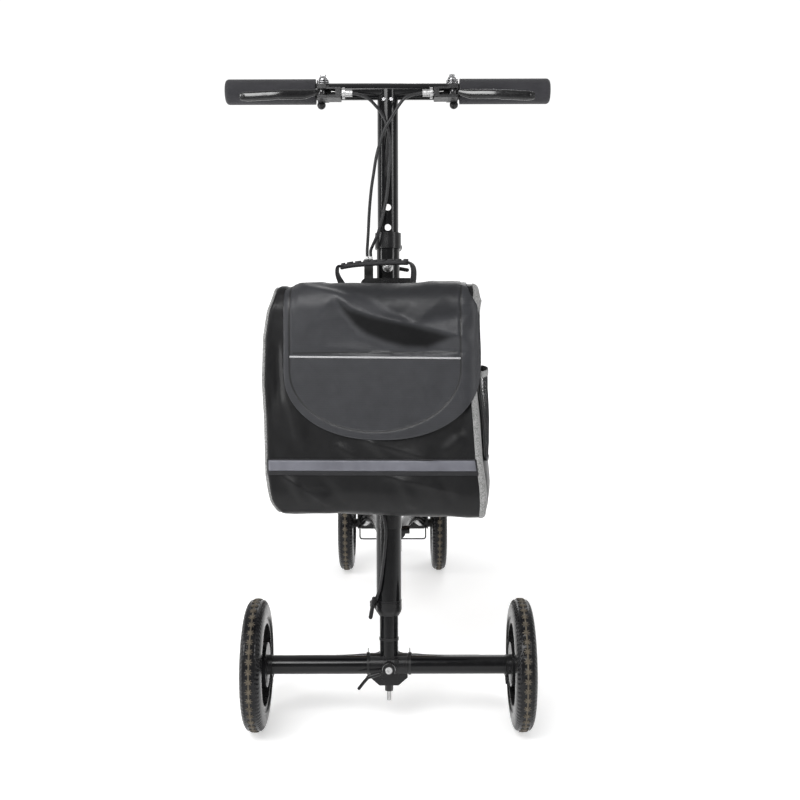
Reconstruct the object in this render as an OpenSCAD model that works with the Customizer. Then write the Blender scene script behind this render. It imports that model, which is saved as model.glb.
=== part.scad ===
// Steerable knee walker with a soft storage bag hung on its steering column.
// Millimetres. +Z is up and the walker faces -Y. The origin is on the floor,
// midway between the axles and between the wheels.

/* [Wheels] */
// Distance between the front and the rear axle
wheelbase = 688; // [660:2:720]
// Outside diameter of every tyre
wheel_d = 200; // [196:1:204]
// Width of a tyre
tyre_w = 32; // [28:1:34]
// Half of the front track, to the middle of the tyre
front_half_track = 202; // [196:1:215]
// Half of the rear track, to the middle of the tyre
rear_half_track = 97.5; // [96:0.5:110]

/* [Column] */
// Backward lean of the steering column, in degrees
rake = 12; // [10:0.5:14]
// Distance from the front axle to the handlebar, along the column
bar_s = 877; // [860:1:890]
// Outside diameter of the outer column tube
outer_d = 35; // [35:0.1:35.2]
// Outside diameter of the telescoping inner column tube
inner_d = 31.8; // [31.6:0.1:31.8]
// Distance between two height holes
hole_pitch = 30.5; // [28:0.5:32]

/* [Handlebar] */
// Length of the handlebar over its grips
bar_l = 496; // [480:2:520]
// Outside diameter of the handlebar tube
bar_d = 25.4; // [25:0.1:25.4]
// Diameter of a foam grip
grip_d = 38; // [34:1:40]
// Length of a foam grip
grip_l = 138; // [130:1:140]

/* [Bag] */
// Width of the bag across its front panel
bag_w = 296; // [280:2:304]
// Height of the bag
bag_h = 327; // [320:1:330]
// Depth of the bag, from its back panel to its front panel
bag_depth = 132; // [120:2:134]
// How far the bag is turned on the column, in degrees
bag_yaw = 5; // [0:0.5:6]

/* [Knee pad] */
// Height of the top of the knee pad at its lowest setting
pad_top = 430; // [420:1:431]
// Length of the knee pad
pad_l = 330; // [300:5:335]
// Width over both cushions
pad_w = 180; // [170:2:190]

/* [Hidden] */
$fn = 64;

// Where the axles are
front_y = -wheelbase / 2;
rear_y = wheelbase / 2;
axle_z = wheel_d / 2;

// Wheels
rim_r = 72;          // where the tyre sits on the rim
hub_r = 20;
hub_in = 11.5;       // hub end towards the frame, from the wheel's middle plane
hub_out = 11;        // outer hub end
bearing_r = 14;
bearing_w = 6;
running = 0.05;      // radial clearance of a running fit
spindle_r = 6;
drum_r = 31;

// Tubes
steerer_r = 14.3;
head_r = 19.05;
head_bottom = 99.5;
head_top = 209;
axle_tube_r = 14.3;
outer_r = outer_d / 2;
inner_r = inner_d / 2;
bar_r = bar_d / 2;
sleeve_top = 296;    // top of the steerer's upper sleeve
fold_s = 318.2;      // parting plane of the folding joint
fold_y = 28;         // hinge pin of the folding joint, behind the column
lug = 19;            // half width of the folding joint's blocks
knuckle_r = 8;
outer_top = 655;
top_hole = 697.2;    // highest height hole
pin_s = top_hole - 3 * hole_pitch;
hole_r = 5;
slot_rise = 5.6;     // the holes are slots in the back wall

// Frame
stay_d = 22;
post_y = front_y + 370;
socket_r = 19.05;
socket_top = 322;
post_r = 15.9;
post_pin_z = 284;
board_t = 12;
cushion_t = 50;
plate_z = pad_top - cushion_t - board_t;
bail_y = 10;         // the wire bail's pivot, in front of the rear axle
bail_z = axle_z - 2.5;
bail_r = 1.5;

// Bag, in the column's frame
bag_x = -6;
bag_back = -28;
bag_front = bag_back - bag_depth;
bag_bottom = 243;
bag_top = bag_bottom + bag_h;
cloth = 4;
flap_back = -52;
flap_x = 10;         // the flap hangs a little to the right

// Cable routes in the column's frame: across, back, and along the column from the front axle
cable_d = 4.5;
left_route = [
    [-53, -28, 867], [-46, -28, 866], [-36, -27.5, 863], [-26, -26.5, 857], [-18, -25, 849],
    [-11, -23.5, 841], [-4, -22, 829], [1, -21.5, 812], [3, -21.5, 790], [2.5, -21.5, 765],
    [1, -21.5, 740], [-1, -21.5, 718], [-5, -21.5, 695], [-10, -22, 674], [-16, -21.5, 654],
    [-22, -18, 641], [-26, -14.5, 632], [-26, -14, 623]
];
right_route = [
    [53, -28, 867], [46, -28, 866], [36, -28.5, 864], [26, -29, 859], [19, -29, 851],
    [13, -28.5, 842], [5, -28, 829], [-4, -28, 814], [-11, -27, 794], [-17, -26, 772],
    [-21, -24.5, 748], [-25, -22.5, 722], [-28, -20, 690], [-30, -17, 655], [-31.5, -14.5, 634],
    [-31.5, -14, 623]
];
trunk_route = [
    [-29, -14, 575], [-29, -14, 545], [-29, -14, 500], [-29, -14, 450], [-28.5, -14, 400],
    [-27, -14, 365], [-25, -14, 335], [-24, -14, 305], [-21, -15.5, 275], [-14, -20, 250],
    [-7, -23, 228], [-4, -23, 205], [-6, -22.5, 175], [-9.5, -21, 145], [-13.5, -18.8, 120],
    [-18, -14.5, 106], [-21.5, -7.5, 99], [-22.5, 1, 93], [-20.5, 10, 86], [-16, 17, 77],
    [-9, 21, 67], [-3, 22, 58], [0, 22, 50]
];
branch_route = [
    [5, 22, 30], [7, 22.5, 22], [12, 22.5, 14.5], [20, 21.5, 11], [30, 19.5, 10.2], [42, 16.5, 10.6],
    [54, 15.2, 10], [66, 15.3, 9.4], [84, 15.5, 9], [104, 15.5, 9], [124, 15.5, 9], [142, 15.8, 8.6],
    [156, 16.7, 5.5], [166, 17.4, -0.5], [173, 17, -7.5], [177.5, 15.2, -13.5], [180, 12, -17]
];

// ---------- helpers ----------

// The column's own frame: s runs up along the steering axis from the front axle
module on_column(s = 0) {
    translate([0, front_y, axle_z]) rotate([-rake, 0, 0]) translate([0, 0, s]) children();
}

// The bag's frame: the column's, turned a little about it
module on_bag() {
    on_column() translate([bag_x, 0, 0]) rotate([0, 0, -bag_yaw]) children();
}

module ring(r_out, r_in, z0, z1) {
    translate([0, 0, z0]) difference() {
        cylinder(r = r_out, h = z1 - z0);
        translate([0, 0, -1]) cylinder(r = r_in, h = z1 - z0 + 2);
    }
}

module bar_x(r, x0, x1) {
    translate([x0, 0, 0]) rotate([0, 90, 0]) cylinder(r = r, h = x1 - x0);
}

module bar_y(r, y0, y1) {
    translate([0, y0, 0]) rotate([-90, 0, 0]) cylinder(r = r, h = y1 - y0);
}

module block(x0, x1, y0, y1, z0, z1) {
    translate([x0, y0, z0]) cube([x1 - x0, y1 - y0, z1 - z0]);
}

// A rounded lever blade through a few points
module blade(points, r) {
    for (i = [0 : len(points) - 2]) hull() {
        translate(points[i]) sphere(r = r, $fn = 24);
        translate(points[i + 1]) sphere(r = r, $fn = 24);
    }
}

// Skewer of a split clamp, with its nut on the side away from the lever
module skewer(reach) {
    bar_x(3, -reach - 5, reach - 0.3);
    rotate([0, -90, 0]) translate([0, 0, reach + 0.2]) cylinder(r = 5.5, h = 5, $fn = 6);
}

// The same on both sides of the walker
module both_sides() {
    children();
    mirror([1, 0, 0]) children();
}

// A profile drawn back against up, drawn out across the walker
module across(x0, x1) {
    translate([x0, 0, 0]) rotate([90, 0, 90]) linear_extrude(height = x1 - x0) children();
}

// A rectangle with round corners, from true arcs
module soft_rect(a0, a1, b0, b1, r) {
    translate([a0 + r, b0]) square([a1 - a0 - 2 * r, b1 - b0]);
    translate([a0, b0 + r]) square([a1 - a0, b1 - b0 - 2 * r]);
    for (a = [a0 + r, a1 - r]) for (b = [b0 + r, b1 - r]) translate([a, b]) circle(r = r);
}

// Smooth points through a route, with a few steps in each span
function spline_point(a, b, c, d, t) =
    0.5 * ((2 * b) + (c - a) * t + (2 * a - 5 * b + 4 * c - d) * t * t
    + (3 * b - a - 3 * c + d) * t * t * t);
function smooth_route(p, steps) = [
    for (i = [0 : len(p) - 2]) for (k = [0 : steps - 1])
        spline_point(p[max(i - 1, 0)], p[i], p[i + 1], p[min(i + 2, len(p) - 1)], k / steps),
    p[len(p) - 1]
];
function unit(v) = v / norm(v);
function heading(p, i) = unit(p[min(i + 1, len(p) - 1)] - p[max(i - 1, 0)]);

// One closed tube along a route; its rings share one sideways direction so that they don't twist
module swept_tube(route, r, sides = 8, side_hint = [0.31, 0.92, 0.24]) {
    p = smooth_route(route, 2);
    n = len(p);
    points = [
        for (i = [0 : n - 1])
            let (t = heading(p, i), a = unit(cross(t, side_hint)), b = cross(t, a))
            for (k = [0 : sides - 1]) p[i] + r * (cos(360 * k / sides) * a + sin(360 * k / sides) * b)
    ];
    quads = [
        for (i = [0 : n - 2]) for (k = [0 : sides - 1])
            let (m = (k + 1) % sides)
                [i * sides + k, (i + 1) * sides + k, (i + 1) * sides + m, i * sides + m]
    ];
    first = [[for (k = [0 : sides - 1]) k]];
    last = [[for (k = [sides - 1 : -1 : 0]) (n - 1) * sides + k]];
    polyhedron(points = points, faces = concat(first, quads, last), convexity = 10);
}

// ---------- wheels ----------

// A wheel's place: its own +Z points away from the walker
module at_wheel(side, half_track, y) {
    translate([side * half_track, y, axle_z]) rotate([0, side * 90, 0]) children();
}

module tyre() {
    shoulder = 9;
    half = tyre_w / 2;
    color([0.08, 0.08, 0.085]) rotate_extrude($fn = 128) {
        translate([rim_r, -half]) square([axle_z - shoulder - rim_r, tyre_w]);
        translate([rim_r, shoulder - half]) square([axle_z - rim_r, tyre_w - 2 * shoulder]);
        for (z = [shoulder - half, half - shoulder]) translate([axle_z - shoulder, z]) circle(r = shoulder);
    }
}

module rim(braked) {
    web = [2, 8];
    barrel_r = 62;
    hole_r = 13;
    hole_at = 46;
    color([0.1, 0.1, 0.11]) difference() {
        union() {
            ring(hub_r, bearing_r + running, -hub_in, hub_out);
            ring(hub_r, 8, 2 - hub_in + bearing_w, hub_out - bearing_w - 1);
            ring(rim_r, barrel_r, -14, 14);
            ring(barrel_r + 1, hub_r - 1, web[0], web[1]);
            if (braked) ring(drum_r, drum_r - 4, -9, web[0] + 1);
        }
        for (a = [0 : 72 : 288]) rotate([0, 0, a]) translate([hole_at, 0, -1]) cylinder(r = hole_r, h = 20);
    }
}

// Two sealed bearings, one at each end of the hub
module hub_bearings() {
    groove = 0.6;
    color("silver") for (z = [0.5 - hub_in, hub_out - 0.5 - bearing_w]) difference() {
        ring(bearing_r, spindle_r, z, z + bearing_w);
        ring(bearing_r - 2.5, spindle_r + 2.5, z - 1, z + groove);
        ring(bearing_r - 2.5, spindle_r + 2.5, z + bearing_w - groove, z + bearing_w + 1);
    }
}

module tyre_rear_left() { at_wheel(-1, rear_half_track, rear_y) tyre(); }
module tyre_rear_right() { at_wheel(1, rear_half_track, rear_y) tyre(); }
module rim_rear_left() { at_wheel(-1, rear_half_track, rear_y) rim(false); }
module rim_rear_right() { at_wheel(1, rear_half_track, rear_y) rim(false); }
module rear_bearings() { for (side = [-1, 1]) at_wheel(side, rear_half_track, rear_y) hub_bearings(); }

module tyre_front_left() { at_wheel(-1, front_half_track, front_y) tyre(); }
module tyre_front_right() { at_wheel(1, front_half_track, front_y) tyre(); }
module rim_front_left() { at_wheel(-1, front_half_track, front_y) rim(true); }
module rim_front_right() { at_wheel(1, front_half_track, front_y) rim(true); }
module front_bearings() { for (side = [-1, 1]) at_wheel(side, front_half_track, front_y) hub_bearings(); }

// A thin hex nut against the outer bearing
module wheel_nut() {
    color("silver") translate([0, 0, hub_out - 0.5]) difference() {
        cylinder(r = 10, h = 5.5, $fn = 6);
        translate([0, 0, -1]) cylinder(r = spindle_r, h = 8);
    }
}

// ---------- frame ----------

module head_tube() {
    color([0.07, 0.07, 0.08]) on_column() ring(head_r, 16, head_bottom, head_top);
}

module headset_cups() {
    color([0.09, 0.09, 0.1]) on_column() {
        ring(head_r + 0.6, 15, head_bottom - 2.5, head_bottom);
        ring(head_r + 0.9, 15, head_top, head_top + 23);
    }
}

module headset_bearings() {
    color("silver") on_column() {
        ring(16, steerer_r + running, head_bottom, head_bottom + 8);
        ring(16, steerer_r + running, head_top - 8, head_top);
    }
}

// The main beam runs straight back from the head tube to the knee post's socket
module frame_spine() {
    beam_s = 155;
    beam_r = 17.5;
    wall = 2;
    start = 12;
    back = 364;
    color([0.07, 0.07, 0.08]) difference() {
        union() {
            on_column(beam_s) bar_y(beam_r, start, back);
            translate([0, post_y, 150]) cylinder(r = socket_r, h = socket_top - 150);
            translate([0, post_y, 192]) bar_x(8, 10, 34);
        }
        on_column(beam_s) bar_y(beam_r - wall, start - 2, back - 16);
        on_column() translate([0, 0, head_bottom - 20]) cylinder(r = head_r, h = 160);
        translate([0, post_y, 152]) cylinder(r = post_r + running, h = 200);
        translate([0, post_y, post_pin_z]) bar_x(3.5, -30, 0);
    }
}

// Two bent tubes spread from the socket out to the rear axle blocks
module rear_stays() {
    route = [
        [15, post_y - 6, 187], [20, post_y + 30, 186], [28, post_y + 85, 181], [38, post_y + 140, 171],
        [47, post_y + 200, 152], [54, rear_y - 60, 127], [58, rear_y - 32, 115], [60, rear_y - 13.5, 112]
    ];
    color([0.07, 0.07, 0.08]) both_sides() difference() {
        swept_tube(route, stay_d / 2, 20);
        translate([0, post_y, 140]) cylinder(r = socket_r, h = 100);
    }
}

module rear_axle_tube() {
    color([0.07, 0.07, 0.08]) translate([0, rear_y, axle_z]) rotate([0, 90, 0]) ring(13, spindle_r, -46, 46);
}

// A long rod with a nut at each end, and the bolts of the axle blocks
module rear_axle_rod() {
    end = rear_half_track + hub_out + 4.5;
    color("silver") translate([0, rear_y, axle_z]) bar_x(spindle_r, -end, end);
    for (side = [-1, 1]) at_wheel(side, rear_half_track, rear_y) wheel_nut();
    color("silver") for (side = [-1, 1]) translate([side * 59, rear_y + 17, axle_z + 14]) rotate([90, 0, 0])
        cylinder(r = 5, h = 4, $fn = 6);
}

// Blocks that join the stays to the axle, with a bushing between block and wheel.
// The wire bail hangs in a slot in each block.
module axle_blocks() {
    color([0.06, 0.06, 0.065]) both_sides() difference() {
        union() {
            block(46, 75, rear_y - 13, rear_y + 13, axle_z - 9, axle_z + 26);
            translate([0, rear_y, axle_z]) bar_x(9, 70, rear_half_track - hub_in + 0.5);
        }
        translate([0, rear_y, axle_z]) bar_x(spindle_r, 40, 90);
        translate([0, rear_y - bail_y, bail_z]) bar_x(bail_r + 0.1, 58, 70);
        block(67.5, 72.5, rear_y - 20, rear_y - bail_y + 2.5, axle_z - 14, bail_z + 3);
    }
}

// A split clamp on top of the socket
module post_collar() {
    color([0.1, 0.1, 0.11]) translate([0, post_y, 0]) difference() {
        union() {
            ring(23, socket_r, socket_top - 22, socket_top);
            block(2, 10, 20, 37, socket_top - 20, socket_top - 2);
            block(-10, -2, 20, 37, socket_top - 20, socket_top - 2);
        }
        block(-2, 2, 15, 40, socket_top - 25, socket_top + 2);
        translate([0, 30, socket_top - 11]) bar_x(3 + running, -20, 20);
        translate([0, 0, socket_top - 30]) cylinder(r = socket_r, h = 40);
    }
    color("silver") translate([0, post_y + 30, socket_top - 11]) skewer(10);
}

// Cam lever of the knee post's clamp
module post_lever() {
    color([0.75, 0.75, 0.77]) translate([17.5, post_y + 30, socket_top - 11]) {
        translate([0, 0, -7]) cylinder(r = 7, h = 14);
        blade([[3, 0, 0], [12, -20, -1], [12, -50, -3]], 3.4);
    }
}

// Spring pin on the left of the socket, with its pull knob
module post_pin() {
    color([0.06, 0.06, 0.065]) mirror([1, 0, 0]) translate([0, post_y, post_pin_z]) {
        bar_x(3.45, post_r + 0.4, 24);
        bar_x(8, socket_r + 1, 34);
    }
}

// ---------- knee support ----------

module knee_post() {
    color([0.6, 0.6, 0.62]) translate([0, post_y, 0]) difference() {
        ring(post_r, post_r - 1.6, 178, plate_z - 4);
        for (k = [0 : 4]) translate([0, 0, post_pin_z - 20 * k]) bar_x(3.6, -20, -10);
    }
}

module pad_plate() {
    color([0.07, 0.07, 0.08]) translate([0, post_y + 30, 0]) {
        block(-45, 45, -75, 75, plate_z - 4, plate_z);
        translate([0, -30, 0]) ring(22, post_r, plate_z - 26, plate_z - 4);
    }
}

module pad_board() {
    half_w = pad_w / 2 - 4;
    half_l = pad_l / 2 - 4;
    color([0.45, 0.32, 0.2]) translate([0, post_y + 30, plate_z])
        linear_extrude(height = board_t) soft_rect(-half_w, half_w, -half_l, half_l, 24);
}

// Two long cushions with a channel between them
module knee_pads() {
    half_gap = 5;
    r = 14;
    color([0.09, 0.09, 0.1]) both_sides() translate([0, post_y + 30, plate_z + board_t])
        hull() for (x = [half_gap + r, pad_w / 2 - r]) for (y = [r - pad_l / 2, pad_l / 2 - r]) {
            translate([x, y, 0]) cylinder(r = r, h = 10, $fn = 32);
            translate([x, y, cushion_t - r]) sphere(r = r, $fn = 32);
        }
}

// ---------- rear wire bail ----------

module rear_bail() {
    half = [[30, 0, -30], [62, 0, -30], [68, 0, -29], [70, 0, -25], [70, 0, -14], [70, 0, -4], [69, 0, -0.6],
        [66, 0, 0], [60, 0, 0]];
    mirrored = [for (i = [len(half) - 1 : -1 : 0]) [-half[i].x, half[i].y, half[i].z]];
    color([0.15, 0.15, 0.16]) translate([0, rear_y - bail_y, bail_z])
        swept_tube(concat(mirrored, half), bail_r);
}

// ---------- steering ----------

// The stem, with the lower half of the folding joint welded on
module steerer_tube() {
    color([0.07, 0.07, 0.08]) on_column() difference() {
        union() {
            translate([0, 0, 14]) cylinder(r = steerer_r, h = sleeve_top - 14);
            translate([0, 0, head_top + 23.4]) cylinder(r = head_r + 0.9, h = 8);
            translate([0, 0, head_top + 30]) cylinder(r = outer_r, h = sleeve_top - head_top - 30);
            block(-lug, lug, -lug, lug, sleeve_top, fold_s - 0.2);
            block(-7.8, 7.8, lug - 1, fold_y, fold_s - 10, fold_s - 0.2);
            translate([0, fold_y, fold_s]) bar_x(knuckle_r, -7.8, 7.8);
        }
        translate([0, 0, 13]) cylinder(r = steerer_r - 2.8, h = sleeve_top - 11);
        translate([0, fold_y, fold_s]) bar_x(4, -10, 10);
    }
}

module fold_pin() {
    color("silver") on_column() translate([0, fold_y, fold_s]) {
        bar_x(4, -lug - 1, lug + 1);
        bar_x(6, -lug - 3.5, -lug - 0.5);
        bar_x(6, lug + 0.5, lug + 3.5);
    }
}

// Saddle round the axle tube, with a keel below and a boss for the skewer
module hub_bracket() {
    half = 28.5;
    color([0.08, 0.08, 0.09]) on_column() difference() {
        union() {
            bar_x(17.5, -half, half);
            translate([0, 0, 2]) block(-half, half, -13, 13, -10, 13);
            translate([0, 13, 0]) rotate([90, 0, 0]) linear_extrude(height = 26)
                polygon([[-half, 0], [half, 0], [half, -17], [14.5, -29], [-14.5, -29], [-half, -17]]);
            translate([0, 0, -3]) bar_y(11.5, -21, 20);
            translate([11.6, 0, 9]) bar_y(3.2, -18.5, 0);
        }
        bar_x(axle_tube_r, -40, 40);
        translate([0, 0, 14]) cylinder(r = steerer_r, h = 10);
        translate([0, 0, -3]) bar_y(4.5, -30, 30);
        translate([0, 0, -40]) cylinder(r = 3.4, h = 30);
    }
}

module front_axle_tube() {
    end = 178;
    color([0.07, 0.07, 0.08]) on_column() difference() {
        bar_x(axle_tube_r, -end, end);
        bar_x(12, -end - 1, end + 1);
        translate([0, 0, -3]) bar_y(4.5, -30, 30);
    }
}

// A stub axle plugged into each end of the axle tube, with its nut
module front_spindles() {
    shoulder = front_half_track - hub_in + 0.5;
    color("silver") on_column() both_sides() {
        bar_x(12, 150, 178);
        bar_x(8, 177, shoulder);
        bar_x(spindle_r, shoulder - 1, front_half_track + hub_out + 4.5);
    }
    for (side = [-1, 1]) at_wheel(side, front_half_track, front_y) wheel_nut();
}

// Band brakes inside the front wheels: boss, back plate, band and the cable's arm
module brake_drums() {
    color([0.1, 0.1, 0.11]) translate([0, front_y, axle_z]) both_sides() {
        rotate([0, 90, 0]) {
            ring(15, 8, 178.5, 186);
            ring(drum_r + 2.5, 8, 185.5, 189);
            ring(drum_r + 2.2, drum_r + 0.7, 188, 201);
        }
        difference() {
            block(178.5, 182, -6, 6, -30, -6);
            bar_x(14, 170, 190);
        }
        translate([180.2, 0, -20]) bar_y(3, -9, 9);
    }
}

// The bolt through the bottom of the saddle, with its lock nut
module kingpin_bolt() {
    color([0.2, 0.2, 0.21]) on_column() {
        translate([0, 0, -54.5]) cylinder(r = 3.4, h = 54.5 - axle_tube_r - 0.5);
        translate([0, 0, -40]) difference() {
            cylinder(r = 6.2, h = 11, $fn = 6);
            translate([0, 0, -1]) cylinder(r = 3.4, h = 15);
        }
    }
}

// Quick-release collar on the stem, under the head tube
module steer_collar() {
    z0 = 84.5;
    z1 = 96.5;
    color([0.1, 0.1, 0.11]) on_column() difference() {
        union() {
            ring(19.6, steerer_r, z0, z1);
            block(1.5, 9, 15, 31, z0, z1);
            block(-9, -1.5, 15, 31, z0, z1);
        }
        translate([0, 0, z0 - 5]) cylinder(r = steerer_r, h = 30);
        block(-1.5, 1.5, 10, 40, z0 - 1, z1 + 1);
        translate([0, 26, (z0 + z1) / 2]) bar_x(3 + running, -20, 20);
    }
    color("silver") on_column() mirror([1, 0, 0]) translate([0, 26, (z0 + z1) / 2]) skewer(9);
}

module cone_bushing() {
    color([0.08, 0.08, 0.09]) on_column(76) difference() {
        union() {
            cylinder(r1 = 15.6, r2 = 19, h = 6);
            translate([0, 0, 6]) cylinder(r = 19, h = 2.5);
        }
        translate([0, 0, -1]) cylinder(r = steerer_r, h = 12);
    }
}

// The skewer through the saddle: washer and socket head in front, nut behind
module hub_skewer() {
    color("silver") on_column(-3) {
        bar_y(4.4, -24, 26);
        translate([0, 20, 0]) rotate([-90, 0, 0]) cylinder(r = 7.5, h = 4.5, $fn = 6);
        bar_y(10, -23.5, -21);
        difference() {
            bar_y(6, -28, -23.5);
            translate([0, -31, 0]) rotate([-90, 0, 0]) cylinder(r = 3, h = 6, $fn = 6);
        }
    }
}

module cable_ties() {
    color([0.05, 0.05, 0.05]) on_column() both_sides() {
        rotate([0, 90, 0]) ring(axle_tube_r + 1.2, axle_tube_r, 29.5, 33.5);
        block(29.5, 34.5, -2, 4, axle_tube_r + 0.8, axle_tube_r + 3.8);
        block(31.3, 32.5, 0, 2.4, axle_tube_r + 3, axle_tube_r + 11);
    }
}

// Splits the brake cable for the two front brakes
module cable_splitter() {
    color([0.05, 0.05, 0.055]) on_column() difference() {
        union() {
            block(-10, 10, 16, 27, 30, 50);
            ring(steerer_r + 0.7, steerer_r, 38, 42);
        }
        cylinder(r = steerer_r, h = 60);
    }
}

// Cam lever of the steering collar, lying along its left side
module collar_lever() {
    color([0.1, 0.1, 0.11]) on_column() translate([-16, 26, 90.5]) {
        translate([0, 0, -6]) cylinder(r = 6.5, h = 12);
        for (lift = [0, 5]) blade([[-4, 0, lift + 2], [-12, -24, lift], [-9.5, -42.5, lift - 5]], 1.6);
        blade([[-6.5, -44.5, 13.5], [-11.5, -45, -14.5]], 3.2);
    }
}

// Lever in front of the saddle, with an eye round the head of the skewer
module hub_lever() {
    color([0.12, 0.12, 0.13]) on_column(-3) {
        difference() {
            bar_y(9.5, -27.4, -23.9);
            bar_y(6.35, -30, -20);
        }
        blade([[-8.5, -25.65, -3], [-14, -25.8, -5]], 1.7);
        blade([[-14, -25.8, -5], [-31, -26, -10]], 3.2);
        blade([[-31, -26, -10], [-38, -26, -18], [-45, -26, -27]], 2.5);
    }
}

// ---------- column ----------

// Outer column tube with the upper half of the folding joint
module outer_column() {
    color([0.07, 0.07, 0.08]) on_column() difference() {
        union() {
            block(-lug, lug, -lug, lug, fold_s + 0.2, 340);
            for (x = [-lug, 8.2]) block(x, x + lug - 8.2, lug - 1, fold_y, fold_s + 0.2, fold_s + 10);
            for (x = [-lug, 8.2]) translate([0, fold_y, fold_s]) bar_x(knuckle_r, x, x + lug - 8.2);
            translate([0, 0, 338]) cylinder(r = outer_r, h = outer_top - 338);
            translate([0, 0, pin_s]) bar_y(7, -19.5, -10);
        }
        translate([0, 0, 344]) cylinder(r = outer_r - 1, h = 225);
        translate([0, 0, 560]) cylinder(r = inner_r + running, h = 110);
        translate([0, fold_y, fold_s]) bar_x(4 + running, -30, 30);
        translate([0, 0, pin_s]) bar_y(3.85, -25, 0);
        translate([0, -6, 329]) bar_x(3 + running, 8, 30);
    }
}

module column_collar() {
    z0 = 635.4;
    z1 = 659.6;
    color([0.12, 0.12, 0.13]) on_column() difference() {
        union() {
            ring(20, outer_r, z0, outer_top);
            ring(20, inner_r + 0.4, outer_top, z1);
            block(1.5, 8, 16, 33, z0, z0 + 18);
            block(-8, -1.5, 16, 33, z0, z0 + 18);
        }
        translate([0, 0, z0 - 1]) cylinder(r = outer_r, h = outer_top - z0 + 1);
        block(-1.5, 1.5, 14, 40, z0 - 1, z1 + 1);
        translate([0, 27, z0 + 6]) bar_x(3 + running, -20, 20);
    }
    color("silver") on_column() translate([0, 27, z0 + 6]) skewer(8);
}

// Cam lever of the column's clamp; its tip shows on the right
module column_lever() {
    color([0.08, 0.08, 0.085]) on_column() translate([14.9, 27, 641.4]) {
        bar_y(6.5, -6, 6);
        blade([[-2, 3, 0], [-3, 3, -31], [14.5, 3, -34]], 3.2);
    }
}

// Plate that the bag hangs on, held to the column by two bands
module hanger_plate() {
    half = 41;
    low = 440;
    high = 589;
    color([0.06, 0.06, 0.065]) on_column() difference() {
        union() {
            translate([0, -20, 0]) rotate([90, 0, 0]) linear_extrude(height = 4)
                soft_rect(-half, half, low, high, 9);
            for (s = [470, 545]) {
                ring(outer_r + 3, outer_r, s, s + 16);
                block(-11, 11, -20, -16, s, s + 16);
            }
        }
        translate([0, 0, low]) cylinder(r = outer_r, h = high - low);
        for (x = [-30, 30]) for (s = [455, 525]) translate([x, 0, s]) bar_y(2.75, -30, -10);
    }
}

// Two cables in at the top, one out at the bottom
module cable_joiner() {
    color([0.05, 0.05, 0.055]) on_column() block(-36, -22.5, -20, -8, 575, 618);
    color("silver") on_column() for (x = [-31.5, -26]) translate([x, -14, 618]) cylinder(r = 2.6, h = 4.4);
}

// Bag body: front, back, sides and bottom, open at the top, with an open pocket on each side
module bag_shell() {
    w = bag_w / 2;
    mouth_x = w - 8;
    pocket_t = 10;
    color([0.12, 0.12, 0.13]) on_bag() difference() {
        union() {
            across(-w, w) {
                soft_rect(bag_front, bag_back, bag_bottom, bag_top, 36);
                soft_rect(bag_back - 80, bag_back, bag_bottom, bag_top, 14);
            }
            both_sides() block(w - 1, w + pocket_t, bag_front + 30, bag_back - 26, 325, 436);
        }
        across(cloth - w, w - cloth) {
            soft_rect(bag_front + cloth, bag_back - cloth, bag_bottom + cloth, bag_top - cloth, 32);
            soft_rect(bag_back - 76, bag_back - cloth, bag_bottom + cloth, bag_top - cloth, 10);
        }
        block(-mouth_x, mouth_x, bag_front + 30, flap_back + 2, bag_top - 20, bag_top + 10);
        both_sides() block(w, w + pocket_t - 2.5, bag_front + 33, bag_back - 29, 328, 450);
    }
}

// Carry handle: a strip on two short legs that stand on the bag's rim
module bag_handle() {
    route = [
        [-64, -40, bag_top + 3], [-71, -42, 581], [-74, -43.5, 591], [-69, -44, 599], [-50, -44, 601.5],
        [-17, -44, 604], [16, -44, 606.5], [33, -44, 607.5], [40, -44.5, 602], [41, -45, 590],
        [36, -46, bag_top + 1.5]
    ];
    color([0.1, 0.1, 0.11]) on_column() swept_tube(route, 4.2);
}

// Lid over the top and down the front, with a round lower edge
module bag_flap() {
    half = 134;
    low = 351;
    gap = 1.2;
    t = 3;
    rise = 79;
    arc_r = (half * half + rise * rise) / (2 * rise);
    color([0.16, 0.16, 0.17]) on_bag() translate([flap_x, 0, 0]) intersection() {
        across(-half, half) difference() {
            soft_rect(bag_front - gap - t, 60, low - 80, bag_top + gap + t, 36 + gap + t);
            soft_rect(bag_front - gap, 60, low - 90, bag_top + gap, 36 + gap);
            translate([flap_back, 0]) square([200, 900]);
        }
        union() {
            block(-half - 1, half + 1, -200, 0, low + rise, 700);
            translate([0, 0, low + arc_r]) bar_y(arc_r, -200, 0);
        }
    }
}

// Side latch of the folding joint
module fold_latch() {
    color([0.7, 0.7, 0.72]) on_column() translate([0, -6, 329]) {
        bar_x(3, 9, 26);
        bar_x(8, lug + 1, 27.5);
        block(23.5, 27.5, -5, 5, -44, 0);
        translate([0, 0, -44]) bar_x(5, 23.5, 27.5);
    }
}

// Domed height pin in front of the column; its tip rests just clear of the inner tube
module height_pin() {
    dome_r = 7.9;
    color([0.8, 0.8, 0.82]) on_column(pin_s) {
        bar_y(3.8, -20, -inner_r - 0.3);
        difference() {
            translate([0, -19.8, 0]) sphere(r = dome_r);
            block(-10, 10, -19.8, 0, -10, 10);
        }
    }
}

// ---------- handlebar ----------

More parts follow.
